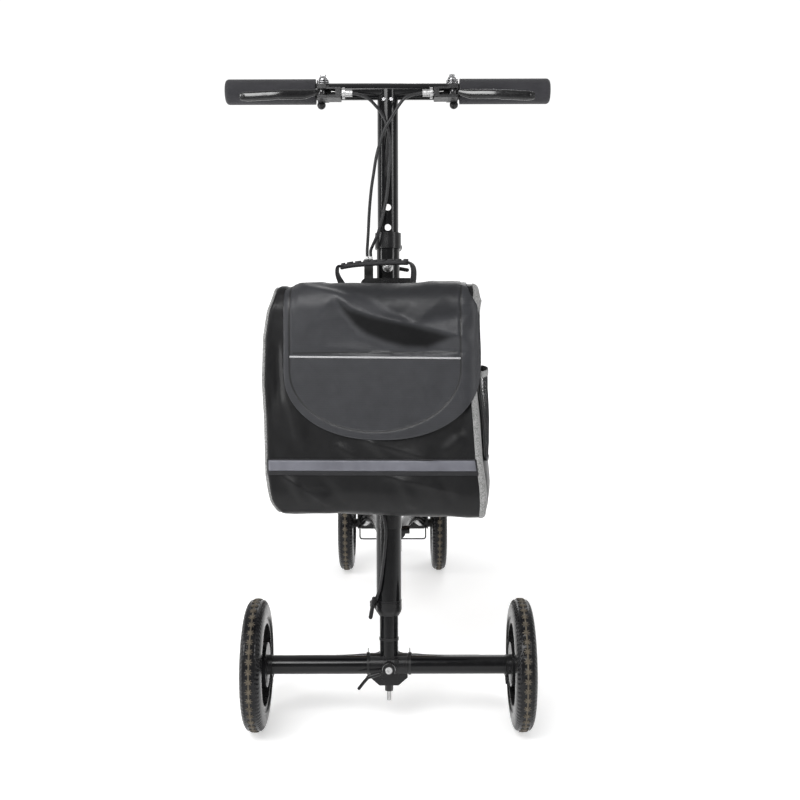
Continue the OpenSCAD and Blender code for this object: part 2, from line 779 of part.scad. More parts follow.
module inner_column() {
    color([0.08, 0.08, 0.09]) on_column() difference() {
        translate([0, 0, 445]) cylinder(r = inner_r, h = bar_s - 445);
        translate([0, 0, 444]) cylinder(r = inner_r - 1.5, h = bar_s - 440);
        translate([0, 0, bar_s]) bar_x(bar_r, -30, 30);
        for (k = [0 : 6]) translate([0, 0, top_hole - k * hole_pitch]) {
            bar_y(hole_r, -20, 0);
            translate([0, 20, 0]) rotate([90, 0, 0]) linear_extrude(height = 20) {
                circle(r = hole_r);
                translate([-hole_r, 0]) square([2 * hole_r, slot_rise]);
                translate([0, slot_rise]) circle(r = hole_r);
            }
        }
    }
}

module crossbar() {
    color([0.08, 0.08, 0.09]) on_column(bar_s) difference() {
        bar_x(bar_r, 4 - bar_l / 2, bar_l / 2 - 4);
        bar_x(bar_r - 2, -bar_l / 2, bar_l / 2);
    }
}

// Foam grips, closed at their outer ends
module grips() {
    end = bar_l / 2;
    round = 6;
    color([0.1, 0.1, 0.11]) on_column(bar_s) both_sides() rotate([0, 90, 0]) rotate_extrude() {
        translate([bar_r, end - grip_l]) square([grip_d / 2 - bar_r, grip_l - round]);
        translate([0, end - 4]) square([grip_d / 2 - round, 4]);
        intersection() {
            translate([grip_d / 2 - round, end - round]) circle(r = round);
            translate([bar_r, 0]) square([20, 400]);
        }
        translate([bar_r, end - round]) square([grip_d / 2 - round - bar_r, round]);
    }
}

// Clamp rings with the housings that carry lever pivot and cable stop
module lever_brackets() {
    color([0.05, 0.05, 0.055]) on_column(bar_s) both_sides() difference() {
        union() {
            rotate([0, 90, 0]) ring(bar_r + 3.5, bar_r, 90, 107);
            block(70, 104, -38, -12, -19, -3);
            block(92, 105, -40, -12, -20, 1);
            translate([98.5, -3, 12]) cylinder(r = 6.5, h = 6);
            translate([101, -6, -22]) cylinder(r = 4, h = 12);
            translate([101, -6, -22]) sphere(r = 6.5);
        }
        bar_x(bar_r, 60, 120);
        block(78, 106, -60, -25, -15.2, -5.8);
        translate([98.5, -34, -22]) cylinder(r = 2.5, h = 30);
    }
}

// Clamp screws on the brackets and two screws at the middle of the bar
module chrome_bolts() {
    color([0.85, 0.85, 0.87]) on_column(bar_s) {
        both_sides() {
            translate([98.5, -3, 18]) cylinder(r = 5.5, h = 3);
            translate([98.5, -3, 20.5]) cylinder(r = 4.4, h = 4.5, $fn = 6);
        }
        for (x = [-6, 5.5]) translate([x, 0, -16]) difference() {
            bar_y(2.6, -17.5, -10);
            translate([-x, 0, -10]) cylinder(r = inner_r, h = 20);
        }
    }
}

// Screwed cable stops on the inner ends of the brackets
module cable_adjusters() {
    color([0.85, 0.85, 0.83]) on_column(bar_s - 10) both_sides() translate([0, -28, 0]) {
        bar_x(5.2, 53, 66);
        bar_x(8.5, 64, 68);
        bar_x(3.5, 68, 70);
    }
}

// One brake lever, for the right-hand side: eye, blade and rounded tip
module brake_lever() {
    tall = 7.2;
    color([0.06, 0.06, 0.065]) on_column(bar_s) translate([98.5, -34, -10.5]) {
        cylinder(r = 2.45, h = 14, center = true);
        cylinder(r = 6, h = 8.4, center = true);
        block(0, 26, -6, -1, -4.2, 4.2);
        hull() {
            translate([22, -4, -4.5]) bar_y(tall, -3, 3);
            translate([62, -12, -6.5]) bar_y(tall, -3, 3);
        }
        hull() {
            translate([62, -12, -6.5]) bar_y(tall, -3, 3);
            translate([115, -14, -9.5]) bar_y(tall, -3, 3);
        }
    }
}

module brake_lever_right() { brake_lever(); }
module brake_lever_left() { mirror([1, 0, 0]) brake_lever(); }

// ---------- cables ----------

module upper_cables() {
    color([0.04, 0.04, 0.045]) on_column() {
        swept_tube(left_route, cable_d / 2);
        swept_tube(right_route, cable_d / 2);
    }
}

module lower_cables() {
    color([0.04, 0.04, 0.045]) on_column() {
        swept_tube(trunk_route, cable_d / 2);
        both_sides() swept_tube(branch_route, cable_d / 2);
    }
}

head_tube();
headset_cups();
headset_bearings();
frame_spine();
rear_stays();
rear_axle_tube();
rear_axle_rod();
axle_blocks();
rear_bearings();
post_collar();
tyre_rear_left();
rim_rear_left();
tyre_rear_right();
rim_rear_right();
knee_post();
pad_plate();
pad_board();
knee_pads();
post_lever();
post_pin();
rear_bail();
steerer_tube();
fold_pin();
hub_bracket();
front_axle_tube();
front_spindles();
front_bearings();
brake_drums();
kingpin_bolt();
steer_collar();
cone_bushing();
hub_skewer();
cable_ties();
cable_splitter();
collar_lever();
hub_lever();
tyre_front_left();
rim_front_left();
tyre_front_right();
rim_front_right();
outer_column();
column_collar();
hanger_plate();
cable_joiner();
bag_shell();
bag_handle();
fold_latch();
column_lever();
height_pin();
bag_flap();
inner_column();
crossbar();
grips();
lever_brackets();
chrome_bolts();
cable_adjusters();
brake_lever_left();
brake_lever_right();
upper_cables();
lower_cables();
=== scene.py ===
"""Looks for the knee walker: a camera, a studio, a material for every CAD node, and the soft, moulded and bent pieces.

Lengths in the column's frame and the bag's frame are in millimetres, as in the CAD; pieces are made in metres.
"""

import math

import bmesh
import bpy
import numpy as np
from mathutils import Matrix, Vector, geometry, noise


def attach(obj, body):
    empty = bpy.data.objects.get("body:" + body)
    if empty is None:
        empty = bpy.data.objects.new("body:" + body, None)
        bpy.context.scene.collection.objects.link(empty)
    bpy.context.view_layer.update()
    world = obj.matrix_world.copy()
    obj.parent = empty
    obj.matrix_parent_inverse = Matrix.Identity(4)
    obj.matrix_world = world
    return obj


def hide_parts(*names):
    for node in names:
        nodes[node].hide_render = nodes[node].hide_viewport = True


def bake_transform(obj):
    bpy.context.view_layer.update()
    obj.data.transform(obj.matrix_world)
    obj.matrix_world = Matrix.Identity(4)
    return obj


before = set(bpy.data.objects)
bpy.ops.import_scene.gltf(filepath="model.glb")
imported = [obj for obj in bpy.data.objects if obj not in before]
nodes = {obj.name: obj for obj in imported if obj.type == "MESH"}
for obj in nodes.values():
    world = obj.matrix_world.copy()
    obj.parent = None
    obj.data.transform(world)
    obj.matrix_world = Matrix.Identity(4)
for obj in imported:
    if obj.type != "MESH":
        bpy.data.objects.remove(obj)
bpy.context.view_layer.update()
scene = bpy.context.scene

# ---------- the frame's own sizes ----------
MM = 0.001
RAKE = math.radians(12)
FRONT_Y, REAR_Y, AXLE_Z = -344.0, 344.0, 100.0
FRONT_HALF_TRACK, REAR_HALF_TRACK = 202.0, 97.5
BAR_S = 877.0
POST_Y = 26.0
PAD_TOP, PAD_BASE = 430.0, 380.0
BAG_X, BAG_YAW = -6.0, math.radians(5)
BAG_BACK, BAG_FRONT, BAG_BOTTOM, BAG_TOP = -28.0, -160.0, 243.0, 570.0
FRONT_ROUND, BACK_ROUND = 36.0, 14.0
MOUTH_FRONT, MOUTH_BACK, MOUTH_HALF = -130.0, -50.0, 138.0
HINGE_Y = -52.0
CABLE_R = 2.4
CLOTH_TOP = 565.0
SIDES = ((-1, "left"), (1, "right"))


def plain(p):
    """Points of the row frame in millimetres, in metres."""
    return np.asarray(p, float) * MM


def column(p):
    """Points of the column's frame (mm) in the row frame (m)."""
    p = np.asarray(p, float)
    x, y, s = p[..., 0], p[..., 1], p[..., 2]
    c, d = math.cos(RAKE), math.sin(RAKE)
    return np.stack([x, FRONT_Y + y * c + s * d, AXLE_Z - y * d + s * c], -1) * MM


def bag(p):
    """Points of the bag's frame (mm) in the row frame (m)."""
    p = np.asarray(p, float)
    x, y, s = p[..., 0], p[..., 1], p[..., 2]
    c, d = math.cos(BAG_YAW), math.sin(BAG_YAW)
    return column(np.stack([BAG_X + x * c + y * d, -x * d + y * c, s], -1))


ALONG, ACROSS = (column(v) - column((0, 0, 0)) for v in ((0, 0, 1), (1, 0, 0)))


def smooth(a, b, x):
    t = np.clip((np.asarray(x, float) - a) / (b - a), 0, 1)
    return t * t * (3 - 2 * t)


# ---------- mesh helpers ----------
def mesh(name, points, faces, smooth_shaded=True):
    data = bpy.data.meshes.new(name)
    data.from_pydata([tuple(p) for p in points], [], [tuple(int(i) for i in f) for f in faces])
    data.validate()
    obj = bpy.data.objects.new(name, data)
    scene.collection.objects.link(obj)
    if smooth_shaded:
        data.polygons.foreach_set("use_smooth", [True] * len(data.polygons))
    return obj


def outward(obj):
    """Drops loose points, and turns every face of a closed piece outwards."""
    work = bmesh.new()
    work.from_mesh(obj.data)
    bmesh.ops.delete(work, geom=[v for v in work.verts if not v.link_faces], context="VERTS")
    bmesh.ops.recalc_face_normals(work, faces=work.faces)
    work.to_mesh(obj.data)
    work.free()
    return obj


def grid_faces(rows, columns, wrap_rows=False, wrap_columns=False):
    faces = []
    for i in range(rows if wrap_rows else rows - 1):
        for j in range(columns if wrap_columns else columns - 1):
            k, m = (i + 1) % rows, (j + 1) % columns
            faces.append((i * columns + j, i * columns + m, k * columns + m, k * columns + j))
    return faces


def spline(points, steps):
    """Catmull-Rom through the points, as the CAD's cable routes are smoothed."""
    p = np.asarray(points, float)
    out = []
    for i in range(len(p) - 1):
        a, b, c, d = p[max(i - 1, 0)], p[i], p[i + 1], p[min(i + 2, len(p) - 1)]
        for t in np.arange(steps) / steps:
            out.append(0.5 * (2 * b + (c - a) * t + (2 * a - 5 * b + 4 * c - d) * t * t
                              + (3 * b - a - 3 * c + d) * t ** 3))
    return np.array(out + [p[-1]])


def superellipse(half_x, half_y, power_x, power_y, sides):
    a = np.arange(sides) * 2 * math.pi / sides
    c, s = np.cos(a), np.sin(a)
    return np.stack([half_x * np.sign(c) * np.abs(c) ** power_x, half_y * np.sign(s) * np.abs(s) ** power_y], -1)


def round_section(r, sides=16):
    return superellipse(r, r, 1, 1, sides)


def soft_section(width, depth, power=3.0, sides=24):
    """A rounded rectangle as a superellipse."""
    return superellipse(width / 2, depth / 2, 2 / power, 2 / power, sides)


def skin(name, rings, closed=False):
    """A closed piece through rings of points in metres, capped at both ends unless it is closed on itself."""
    n, m = len(rings), len(rings[0])
    faces = grid_faces(n, m, closed, True)
    if not closed:
        faces += [tuple(range(m)), tuple((n - 1) * m + j for j in reversed(range(m)))]
    return outward(mesh(name, np.concatenate(rings), faces))


def sweep(name, path, section, up, scales=None, closed=False):
    """A section drawn along a path in metres. up gives the section's second axis, one vector or one per point."""
    path, section = np.asarray(path, float), np.asarray(section, float) * MM
    n = len(path)
    ups = np.broadcast_to(np.asarray(up, float), (n, 3))
    rings = []
    for i in range(n):
        t = path[(i + 1) % n] - path[i - 1] if closed else path[min(i + 1, n - 1)] - path[max(i - 1, 0)]
        t = t / np.linalg.norm(t)
        a = np.cross(t, ups[i])
        a /= np.linalg.norm(a)
        k = scales[i] if scales is not None else (1.0, 1.0)
        rings.append(path[i] + np.outer(section[:, 0] * k[0], a) + np.outer(section[:, 1] * k[1], np.cross(a, t)))
    return skin(name, rings, closed)


def select(*objects):
    bpy.ops.object.select_all(action="DESELECT")
    for obj in objects:
        obj.select_set(True)
    bpy.context.view_layer.objects.active = objects[0]


def join(name, pieces):
    """Joins pieces into the first one, under a new name."""
    select(*pieces)
    bpy.ops.object.join()
    pieces[0].name = pieces[0].data.name = name
    return pieces[0]


def apply_modifiers(obj):
    select(obj)
    for m in list(obj.modifiers):
        bpy.ops.object.modifier_apply(modifier=m.name)


def thicken(obj, thickness):
    m = obj.modifiers.new("thickness", "SOLIDIFY")
    m.thickness, m.offset = thickness * MM, -1.0
    apply_modifiers(obj)


def paint(obj, material):
    obj.data.materials.clear()
    obj.data.materials.append(material)


def finish_piece(obj, body, material, slot, *replaced):
    """Material, replaced nodes and body of a new piece; slot is not used."""
    paint(obj, material)
    if replaced:
        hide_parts(*replaced)
    if body:
        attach(obj, body)
    return obj


def mark(obj, name, values):
    """A float attribute on the points, for the material to read."""
    layer = obj.data.attributes.new(name, "FLOAT", "POINT")
    layer.data.foreach_set("value", np.asarray(values, np.float32).reshape(-1))


# ---------- material helpers ----------
class Nodes:
    """Short calls for the nodes of one tree."""

    def __init__(self, tree):
        self.tree = tree

    def add(self, kind, inputs=None, **settings):
        node = self.tree.nodes.new("ShaderNode" + kind)
        for key, value in settings.items():
            setattr(node, key, value)
        for key, value in (inputs or {}).items():
            self.feed(node.inputs[key], value)
        return node

    def feed(self, socket, value):
        if hasattr(value, "node"):
            self.tree.links.new(value, socket)
        else:
            socket.default_value = value

    def maths(self, operation, a, b=0.0):
        return self.add("Math", {0: a, 1: b}, operation=operation).outputs[0]

    def mul(self, a, b):
        return self.maths("MULTIPLY", a, b)

    def plus(self, a, b):
        return self.maths("ADD", a, b)

    def minus(self, a, b):
        return self.maths("SUBTRACT", a, b)

    def size(self, a):
        return self.maths("ABSOLUTE", a)

    def length(self, a, b):
        return self.maths("SQRT", self.plus(self.mul(a, a), self.mul(b, b)))

    def split(self, vector):
        return self.add("SeparateXYZ", {"Vector": vector}).outputs

    def fade(self, value, start, stop, low=0.0, high=1.0):
        ends = {"From Min": start, "From Max": stop, "To Min": low, "To Max": high}
        return self.add("MapRange", {"Value": value, **ends}).outputs[0]


class Shade(Nodes):
    """A principled material."""

    def __init__(self, name, **sockets):
        self.material = bpy.data.materials.new(name)
        self.material.use_nodes = True
        super().__init__(self.material.node_tree)
        self.shader = self.tree.nodes["Principled BSDF"]
        for key, value in sockets.items():
            self.shader.inputs[key.replace("_", " ")].default_value = value
        self.place = self.add("TexCoord").outputs["Object"]

    def noise(self, scale, detail=3.0, roughness=0.55, where=None):
        inputs = {"Vector": where or self.place, "Scale": scale, "Detail": detail, "Roughness": roughness}
        return self.add("TexNoise", inputs).outputs["Fac"]

    def cells(self, scale, **settings):
        return self.add("TexVoronoi", {"Vector": self.place, "Scale": scale}, **settings).outputs["Distance"]

    def attribute(self, name):
        return self.add("Attribute", attribute_name=name).outputs["Fac"]

    def stretch(self, x, y, z):
        return self.add("Mapping", {"Vector": self.place, "Scale": (x, y, z)}).outputs["Vector"]

    def ramp(self, fac, *stops):
        node = self.add("ValToRGB", {"Fac": fac})
        elements = node.color_ramp.elements
        for i, (position, colour) in enumerate(stops):
            e = elements[i] if i < 2 else elements.new(position)
            e.position = position
            e.color = (*colour, 1) if hasattr(colour, "__len__") else (colour, colour, colour, 1)
        return node.outputs["Color"]

    def mix(self, fac, a, b):
        node = self.add("Mix", {"Factor": fac}, data_type="RGBA")
        ends = [s for s in node.inputs if s.type == "RGBA"]
        for socket, value in zip(ends, (a, b)):
            self.feed(socket, value if hasattr(value, "node") else (*value, 1))
        return [s for s in node.outputs if s.type == "RGBA"][0]

    def bump(self, height, depth, strength=1.0):
        """The last call for a material: adds the bump and returns the material."""
        node = self.add("Bump", {"Height": height, "Distance": depth, "Strength": strength})
        self.to("Normal", node.outputs["Normal"])
        return self.material

    def to(self, socket, value):
        self.tree.links.new(value, self.shader.inputs[socket])

    def base(self, fac, *stops):
        self.to("Base Color", self.ramp(fac, *stops))

    def rough(self, fac, *stops):
        self.to("Roughness", self.ramp(fac, *stops))


def grey(v):
    return (v, v, v)


def paint_metal(name, base, rough, coat=0.0, specular=0.5):
    """Gloss paint: slight orange peel, dust and finger marks."""
    m = Shade(name, Specular_IOR_Level=specular, Coat_Weight=coat, Coat_Roughness=0.06)
    m.base(m.noise(38, 5, 0.65), (0.35, base), (0.8, [v * 1.5 + 0.0015 for v in base]))
    m.rough(m.noise(70, 4), (0.3, rough - 0.04), (0.75, rough + 0.08))
    return m.bump(m.noise(300, 2), 0.00002, 0.1)


def metal(name, base, rough, brushed=0.0):
    m = Shade(name, Metallic=1.0)
    streak = m.noise(300, 3, 0.6, m.stretch(1, 14, 14)) if brushed else m.noise(300, 3)
    m.base(m.noise(60, 4), (0.3, [v * 0.8 for v in base]), (0.7, base))
    m.rough(streak, (0.3, rough), (0.8, rough + 0.16))
    return m.bump(streak, 0.00005, 0.15 + brushed)


def plastic(name, base, rough, grain=1800, depth=0.00015, specular=0.4, coat=0.0):
    m = Shade(name, Specular_IOR_Level=specular, Coat_Weight=coat, Coat_Roughness=0.08)
    m.base(m.noise(70, 4), (0.3, base), (0.8, [v * 1.6 + 0.003 for v in base]))
    m.rough(m.noise(140, 3), (0.3, rough), (0.8, rough + 0.12))
    return m.bump(m.noise(grain, 2), depth, 0.4)


def along_column(m, s0=0.0):
    """Sockets for x and for the height over s0 along the column, in millimetres."""
    x, y, z = m.split(m.place)
    y = m.mul(m.plus(y, -FRONT_Y * MM), math.sin(RAKE) * 1000)
    z = m.mul(m.plus(z, -AXLE_Z * MM), math.cos(RAKE) * 1000)
    return m.mul(x, 1000.0), m.minus(m.plus(y, z), s0)


def part_bright(m, bright, scale, black, steel, rough):
    """Black paint and bare steel in one piece, by a socket from 0 to 1."""
    wear = m.noise(scale, 4)
    dark, light = (m.ramp(wear, (0.3, ends[0]), (top, ends[1])) for ends, top in ((black, 0.8), (steel, 0.7)))
    m.to("Base Color", m.mix(bright, dark, light))
    m.to("Metallic", bright)
    m.rough(wear, (0.3, rough[0]), (0.8, rough[1]))
    return m.bump(wear, 0.00004, 0.3)


def hub_bolt(name):
    """A bright bolt head in a black bush with a bright rim, round the hub's axis."""
    m = Shade(name)
    r = m.length(*along_column(m, -3.0))
    bright = m.ramp(m.maths("DIVIDE", r, 12.0), (0.43, 1.0), (0.45, 0.0), (0.66, 0.0), (0.68, 1.0))
    return part_bright(m, bright, 300, (0.008, 0.02), (0.5, 0.78), (0.22, 0.38))


def two_metals(name, edge, above, below):
    """Black on one side of a height along the column and bare steel on the other; above and below are 0 or 1."""
    m = Shade(name)
    bright = m.fade(along_column(m)[1], edge - 0.3, edge + 0.3, below, above)
    return part_bright(m, bright, 260, (0.007, 0.016), (0.42, 0.66), (0.3, 0.45))


def foam(name):
    m = Shade(name, Specular_IOR_Level=0.25, Sheen_Weight=0.12, Sheen_Roughness=0.6)
    cells = m.noise(950, 4, 0.7)
    m.base(m.noise(26, 4), (0.3, (0.017, 0.017, 0.020)), (0.75, (0.032, 0.031, 0.036)))
    m.rough(cells, (0.3, 0.62), (0.7, 0.85))
    return m.bump(cells, 0.0005, 0.5)


def wave(m, value, k):
    return m.maths("SINE", m.mul(value, k))


def cloth(name, dark, light, rough, pitch=0.0016, sheen=0.1, specular=0.4, depth=0.0002, seams=(), ribs=0.0,
          painted_shade=""):
    """Woven nylon on panels that face any way; pitch is in metres.

    seams are (attribute, half width in mm): dark stitched lines. ribs is the pitch of its level ribs in mm. The last
    argument names an attribute of painted shade, which darkens the cloth and dulls its specular inside its folds."""
    m = Shade(name, Specular_IOR_Level=specular, Sheen_Weight=sheen, Sheen_Roughness=0.45)
    x, y, z = m.split(m.place)
    k = 2 * math.pi / pitch
    threads = m.plus(m.mul(m.mul(wave(m, m.plus(x, y), k), wave(m, z, k)), 0.5), 0.5)
    if ribs:
        threads = m.plus(threads, m.mul(wave(m, z, 6283 / ribs), 0.14))
    colour = m.ramp(m.plus(m.mul(threads, 0.35), m.mul(m.noise(48, 5), 0.65)), (0.2, dark), (0.8, light))
    height = m.plus(threads, m.mul(m.noise(420, 3), 0.6))
    for attribute, half in seams:
        line = m.fade(m.size(m.attribute(attribute)), half * 0.4, half, 1.0, 0.0)
        colour = m.mix(line, colour, [v * 0.25 for v in dark])
        height = m.minus(height, m.mul(line, 2.0))
    # Painted shade: where the attribute is high, the base colour turns almost black and the specular drops, standing in
    # for shade in the fold.
    if painted_shade:
        inner = m.attribute(painted_shade)
        colour = m.mix(inner, colour, [v * 0.06 for v in dark])
        m.to("Specular IOR Level", m.ramp(inner, (0.0, specular), (1.0, 0.12)))
    m.to("Base Color", colour)
    m.rough(m.noise(120, 4), (0.3, rough), (0.8, rough + 0.14))
    return m.bump(height, depth, 0.5)


def heather(name, dark, light, scale):
    """Melange tape: light and dark fibres along the tape."""
    m = Shade(name, Specular_IOR_Level=0.2, Sheen_Weight=0.15, Sheen_Roughness=0.5)
    fibres = m.noise(scale, 4, 0.7, m.stretch(1, 1, 0.35))
    m.base(fibres, (0.34, dark), (0.66, light))
    m.rough(fibres, (0.3, 0.75), (0.7, 0.9))
    return m.bump(fibres, 0.0003, 0.6)


def reflective(name):
    m = Shade(name, Specular_IOR_Level=0.35, Metallic=0.1)
    cells = m.cells(900)
    m.base(m.noise(30, 4), (0.3, (0.115, 0.117, 0.136)), (0.75, (0.165, 0.168, 0.194)))
    m.rough(cells, (0.1, 0.5), (0.6, 0.38))
    return m.bump(cells, 0.0001, 0.3)


def leather(name):
    m = Shade(name, Specular_IOR_Level=0.4)
    pits = m.ramp(m.cells(420, feature="DISTANCE_TO_EDGE"), (0.02, 0.0), (0.25, 1.0))
    m.base(m.noise(22, 4), (0.3, (0.010, 0.010, 0.011)), (0.8, (0.024, 0.024, 0.026)))
    m.rough(m.noise(60, 3), (0.3, 0.42), (0.8, 0.58))
    return m.bump(pits, 0.0003, 0.55)


def plywood(name):
    m = Shade(name, Specular_IOR_Level=0.3)
    fibres = m.noise(60, 5, 0.7, m.stretch(1, 12, 1))
    tone = m.plus(m.mul(wave(m, m.split(m.place)[2], 2600.0), 0.22), fibres)
    m.base(tone, (0.25, (0.16, 0.085, 0.04)), (0.8, (0.42, 0.27, 0.15)))
    m.rough(fibres, (0.3, 0.6), (0.8, 0.78))
    return m.bump(tone, 0.0002, 0.5)


# The stars round a tyre: how many, their pitch, the radius between the arms, the length of an arm, half the neck
STARS = 43
STAR_PITCH = 2 * math.pi * 100 / STARS
STAR_IN, STAR_ARM, STAR_NECK = 2.2, 3.6, 1.25


def tyre_rubber(name):
    """Black moulded tyre with a chain of light-coloured stars, drawn from the tread's own turn and width."""
    m = Shade(name, Specular_IOR_Level=0.22, Coat_Weight=0.03, Coat_Roughness=0.12)
    turn, v, _ = m.split(m.add("UVMap", uv_map="tread").outputs[0])
    u = m.mul(m.minus(m.maths("FRACT", turn), 0.5), STAR_PITCH)
    arms = m.maths("POWER", m.size(m.maths("COSINE", m.mul(m.maths("ARCTAN2", v, u), 4.0))), 1.6)
    inside = m.minus(m.plus(m.mul(arms, STAR_ARM), STAR_IN), m.length(u, v))
    inside = m.maths("MAXIMUM", inside, m.minus(STAR_NECK, m.size(v)))
    star = m.mul(m.fade(inside, -0.25, 0.35), m.fade(m.size(v), 8.0, 9.0, 1.0, 0.0))
    black = m.ramp(m.noise(45, 4), (0.3, (0.005, 0.005, 0.006)), (0.8, (0.012, 0.012, 0.0125)))
    beige = m.ramp(m.noise(260, 5, 0.7), (0.35, (0.06, 0.05, 0.037)), (0.7, (0.165, 0.142, 0.108)))
    m.to("Base Color", m.mix(star, black, beige))
    m.to("Roughness", m.mix(star, m.ramp(m.noise(90, 3), (0.3, 0.2), (0.8, 0.32)), grey(0.8)))
    return m.bump(m.noise(1200, 3), 0.0001, 0.25)


PAINT = paint_metal("frame_paint", (0.0040, 0.0041, 0.0046), 0.16, 0.1, 0.25)
SATIN = paint_metal("dark_metal", (0.006, 0.006, 0.0066), 0.28, 0.0, 0.35)
STEEL = metal("bright_steel", (0.62, 0.62, 0.61), 0.3, 0.25)
CHROME = metal("chrome_parts", (0.46, 0.46, 0.47), 0.16)
SILVER = metal("satin_silver", (0.60, 0.60, 0.60), 0.34)
HUB = hub_bolt("hub_bolt")
KINGPIN = two_metals("kingpin_steel", -40.0, 0, 1)
JOINER = two_metals("joiner_and_ferrules", 618.1, 1, 0)
BLACK = plastic("black_plastic", (0.007, 0.007, 0.0075), 0.36)
GLOSS = plastic("gloss_black", (0.004, 0.004, 0.0045), 0.14, 500, 0.00003, 0.5, 0.4)
GRIP = plastic("grip_strip", (0.020, 0.020, 0.022), 0.5, 1500, 0.0001, 0.35)
RIM = plastic("rim_plastic", (0.006, 0.006, 0.0065), 0.24, 900, 0.00005, 0.45, 0.2)
RUBBER = tyre_rubber("tyre_rubber")
FOAM = foam("foam")
POST = metal("post_steel", (0.55, 0.55, 0.56), 0.2, 0.2)
CABLE = plastic("cable_jacket", (0.008, 0.008, 0.009), 0.3, 1500, 0.0001, 0.45)
BODY_CLOTH = cloth("bag_nylon", (0.0036, 0.0036, 0.0040), (0.0085, 0.0085, 0.0092), 0.36, 0.0014, 0.0, 0.24, 0.00007)
# The flap's cloth carries painted shade in its folds, read from the attribute that flap() marks.
FLAP_CLOTH = cloth("flap_nylon", (0.0130, 0.0137, 0.0162), (0.0262, 0.0271, 0.0320), 0.40, 0.0019, 0.0, 0.5, 0.00007,
                   seams=(("stitch", 1.5), ("stitch_low", 1.3)), ribs=3.1, painted_shade="painted_shade")
WEBBING = cloth("webbing", (0.010, 0.010, 0.011), (0.021, 0.021, 0.024), 0.55, 0.0022, 0.1, 0.3, 0.0004)
NET = cloth("net_yarn", (0.009, 0.009, 0.010), (0.02, 0.02, 0.022), 0.5, 0.001, 0.1)
TAPE = heather("heather_tape", (0.085, 0.085, 0.085), (0.40, 0.40, 0.395), 1100)
PIPING = heather("light_piping", (0.34, 0.34, 0.35), (0.52, 0.52, 0.53), 1500)
REFLECT = reflective("reflective_tape")
VINYL = leather("pad_vinyl")
PLY = plywood("plywood")

NODE_MATERIALS = {
    PAINT: "head_tube frame_spine rear_stays rear_axle_tube steerer_tube front_axle_tube outer_column inner_column"
           " crossbar",
    SATIN: "headset_cups pad_plate post_collar steer_collar column_collar hub_bracket brake_drums"
           " hanger_plate collar_lever hub_lever rear_bail",
    STEEL: "headset_bearings rear_bearings front_bearings rear_axle_rod front_spindles fold_pin fold_latch post_lever",
    CHROME: "chrome_bolts",
    SILVER: "height_pin cable_adjusters",
    HUB: "hub_skewer",
    KINGPIN: "kingpin_bolt",
    JOINER: "cable_joiner",
    BLACK: "axle_blocks post_pin cone_bushing cable_ties cable_splitter lever_brackets",
    GLOSS: "brake_lever_left brake_lever_right column_lever",
    RUBBER: "tyre_rear_left tyre_rear_right tyre_front_left tyre_front_right",
    RIM: "rim_rear_left rim_rear_right rim_front_left rim_front_right",
    FOAM: "grips",
    POST: "knee_post",
    PLY: "pad_board",
    VINYL: "knee_pads",
    CABLE: "upper_cables lower_cables",
    BODY_CLOTH: "bag_shell bag_handle",
    FLAP_CLOTH: "bag_flap",
}
for material, names in NODE_MATERIALS.items():
    for name in names.split():
        paint(nodes[name], material)


# ---------- wheels ----------
TYRE_HALF, TYRE_IN, TYRE_OUT = 16.0, 72.2, 100.0


def tyre(side, half_track, y, node, body):
    """A moulded tyre: a chain of stars round the middle, and slots across its shoulders."""
    around = STARS * 12
    a = np.linspace(-math.pi / 2, math.pi / 2, 37)
    x = np.append(TYRE_HALF * np.sign(np.sin(a)) * np.abs(np.sin(a)) ** 0.8, [9.0, 0.0, -9.0])
    r = np.append(TYRE_IN + (TYRE_OUT - TYRE_IN) * np.cos(a) ** 0.62, [TYRE_IN] * 3)
    theta = (np.arange(around) * 2 * math.pi / around)[:, None]
    c = theta * STARS / (2 * math.pi) % 1
    xx, rr = np.broadcast_to(x, (around, len(x))), np.broadcast_to(r, (around, len(x)))
    off = np.abs(xx)
    u = (c - 0.5) * STAR_PITCH
    reach = STAR_IN + STAR_ARM * np.abs(np.cos(4 * np.arctan2(xx, u))) ** 1.6
    star = 1 - smooth(-0.3, 0.9, np.minimum(np.hypot(xx, u) - reach, off - STAR_NECK))
    outer = rr > TYRE_OUT - 12
    groove = 1.5 * (1 - star) * (1 - smooth(7.6, 8.8, off))
    slot = smooth(0.25, 0.55, np.cos(2 * math.pi * (2 * c + off / 9)))
    lug = 1.3 * slot * smooth(8.8, 9.8, off) * (1 - smooth(13.2, 14.2, off))
    rr = rr - np.where(outer, groove + lug, 0)
    points = np.stack([side * half_track + xx, y + rr * np.sin(theta), AXLE_Z + rr * np.cos(theta)], -1)
    obj = outward(mesh(node.replace("tyre", "tread"), plain(points.reshape(-1, 3)),
                       grid_faces(around, len(x), True, True)))
    at = np.empty(len(obj.data.loops), np.int64)
    obj.data.loops.foreach_get("vertex_index", at)
    row = (at // len(x)).reshape(-1, 4)
    crossing = row.max(1, keepdims=True) - row.min(1, keepdims=True) > 1
    row = np.where(crossing & (row == 0), around, row).reshape(-1)
    uv = np.stack([row / 12, np.where(outer, xx, 20.0).reshape(-1)[at]], -1)
    obj.data.uv_layers.new(name="tread").data.foreach_set("uv", uv.astype(np.float32).ravel())
    finish_piece(obj, body, RUBBER, "tyre_rubber", node)


for end, half_track, y in (("rear", REAR_HALF_TRACK, REAR_Y), ("front", FRONT_HALF_TRACK, FRONT_Y)):
    for side, word in SIDES:
        tyre(side, half_track, y, f"tyre_{end}_{word}", f"{end}_wheel_{word}")


# ---------- bent tubes and wires ----------
def tube(name, route, r, place=column, sides=14, steps=8):
    return sweep(name, place(spline(route, steps)), round_section(r, sides), (0.31, 0.92, 0.24))


def pair_of_tubes(name, prefix, route, *settings):
    """One tube on each side."""
    return join(name, [tube(prefix + word, [(side * x, y, z) for x, y, z in route], *settings) for side, word in SIDES])


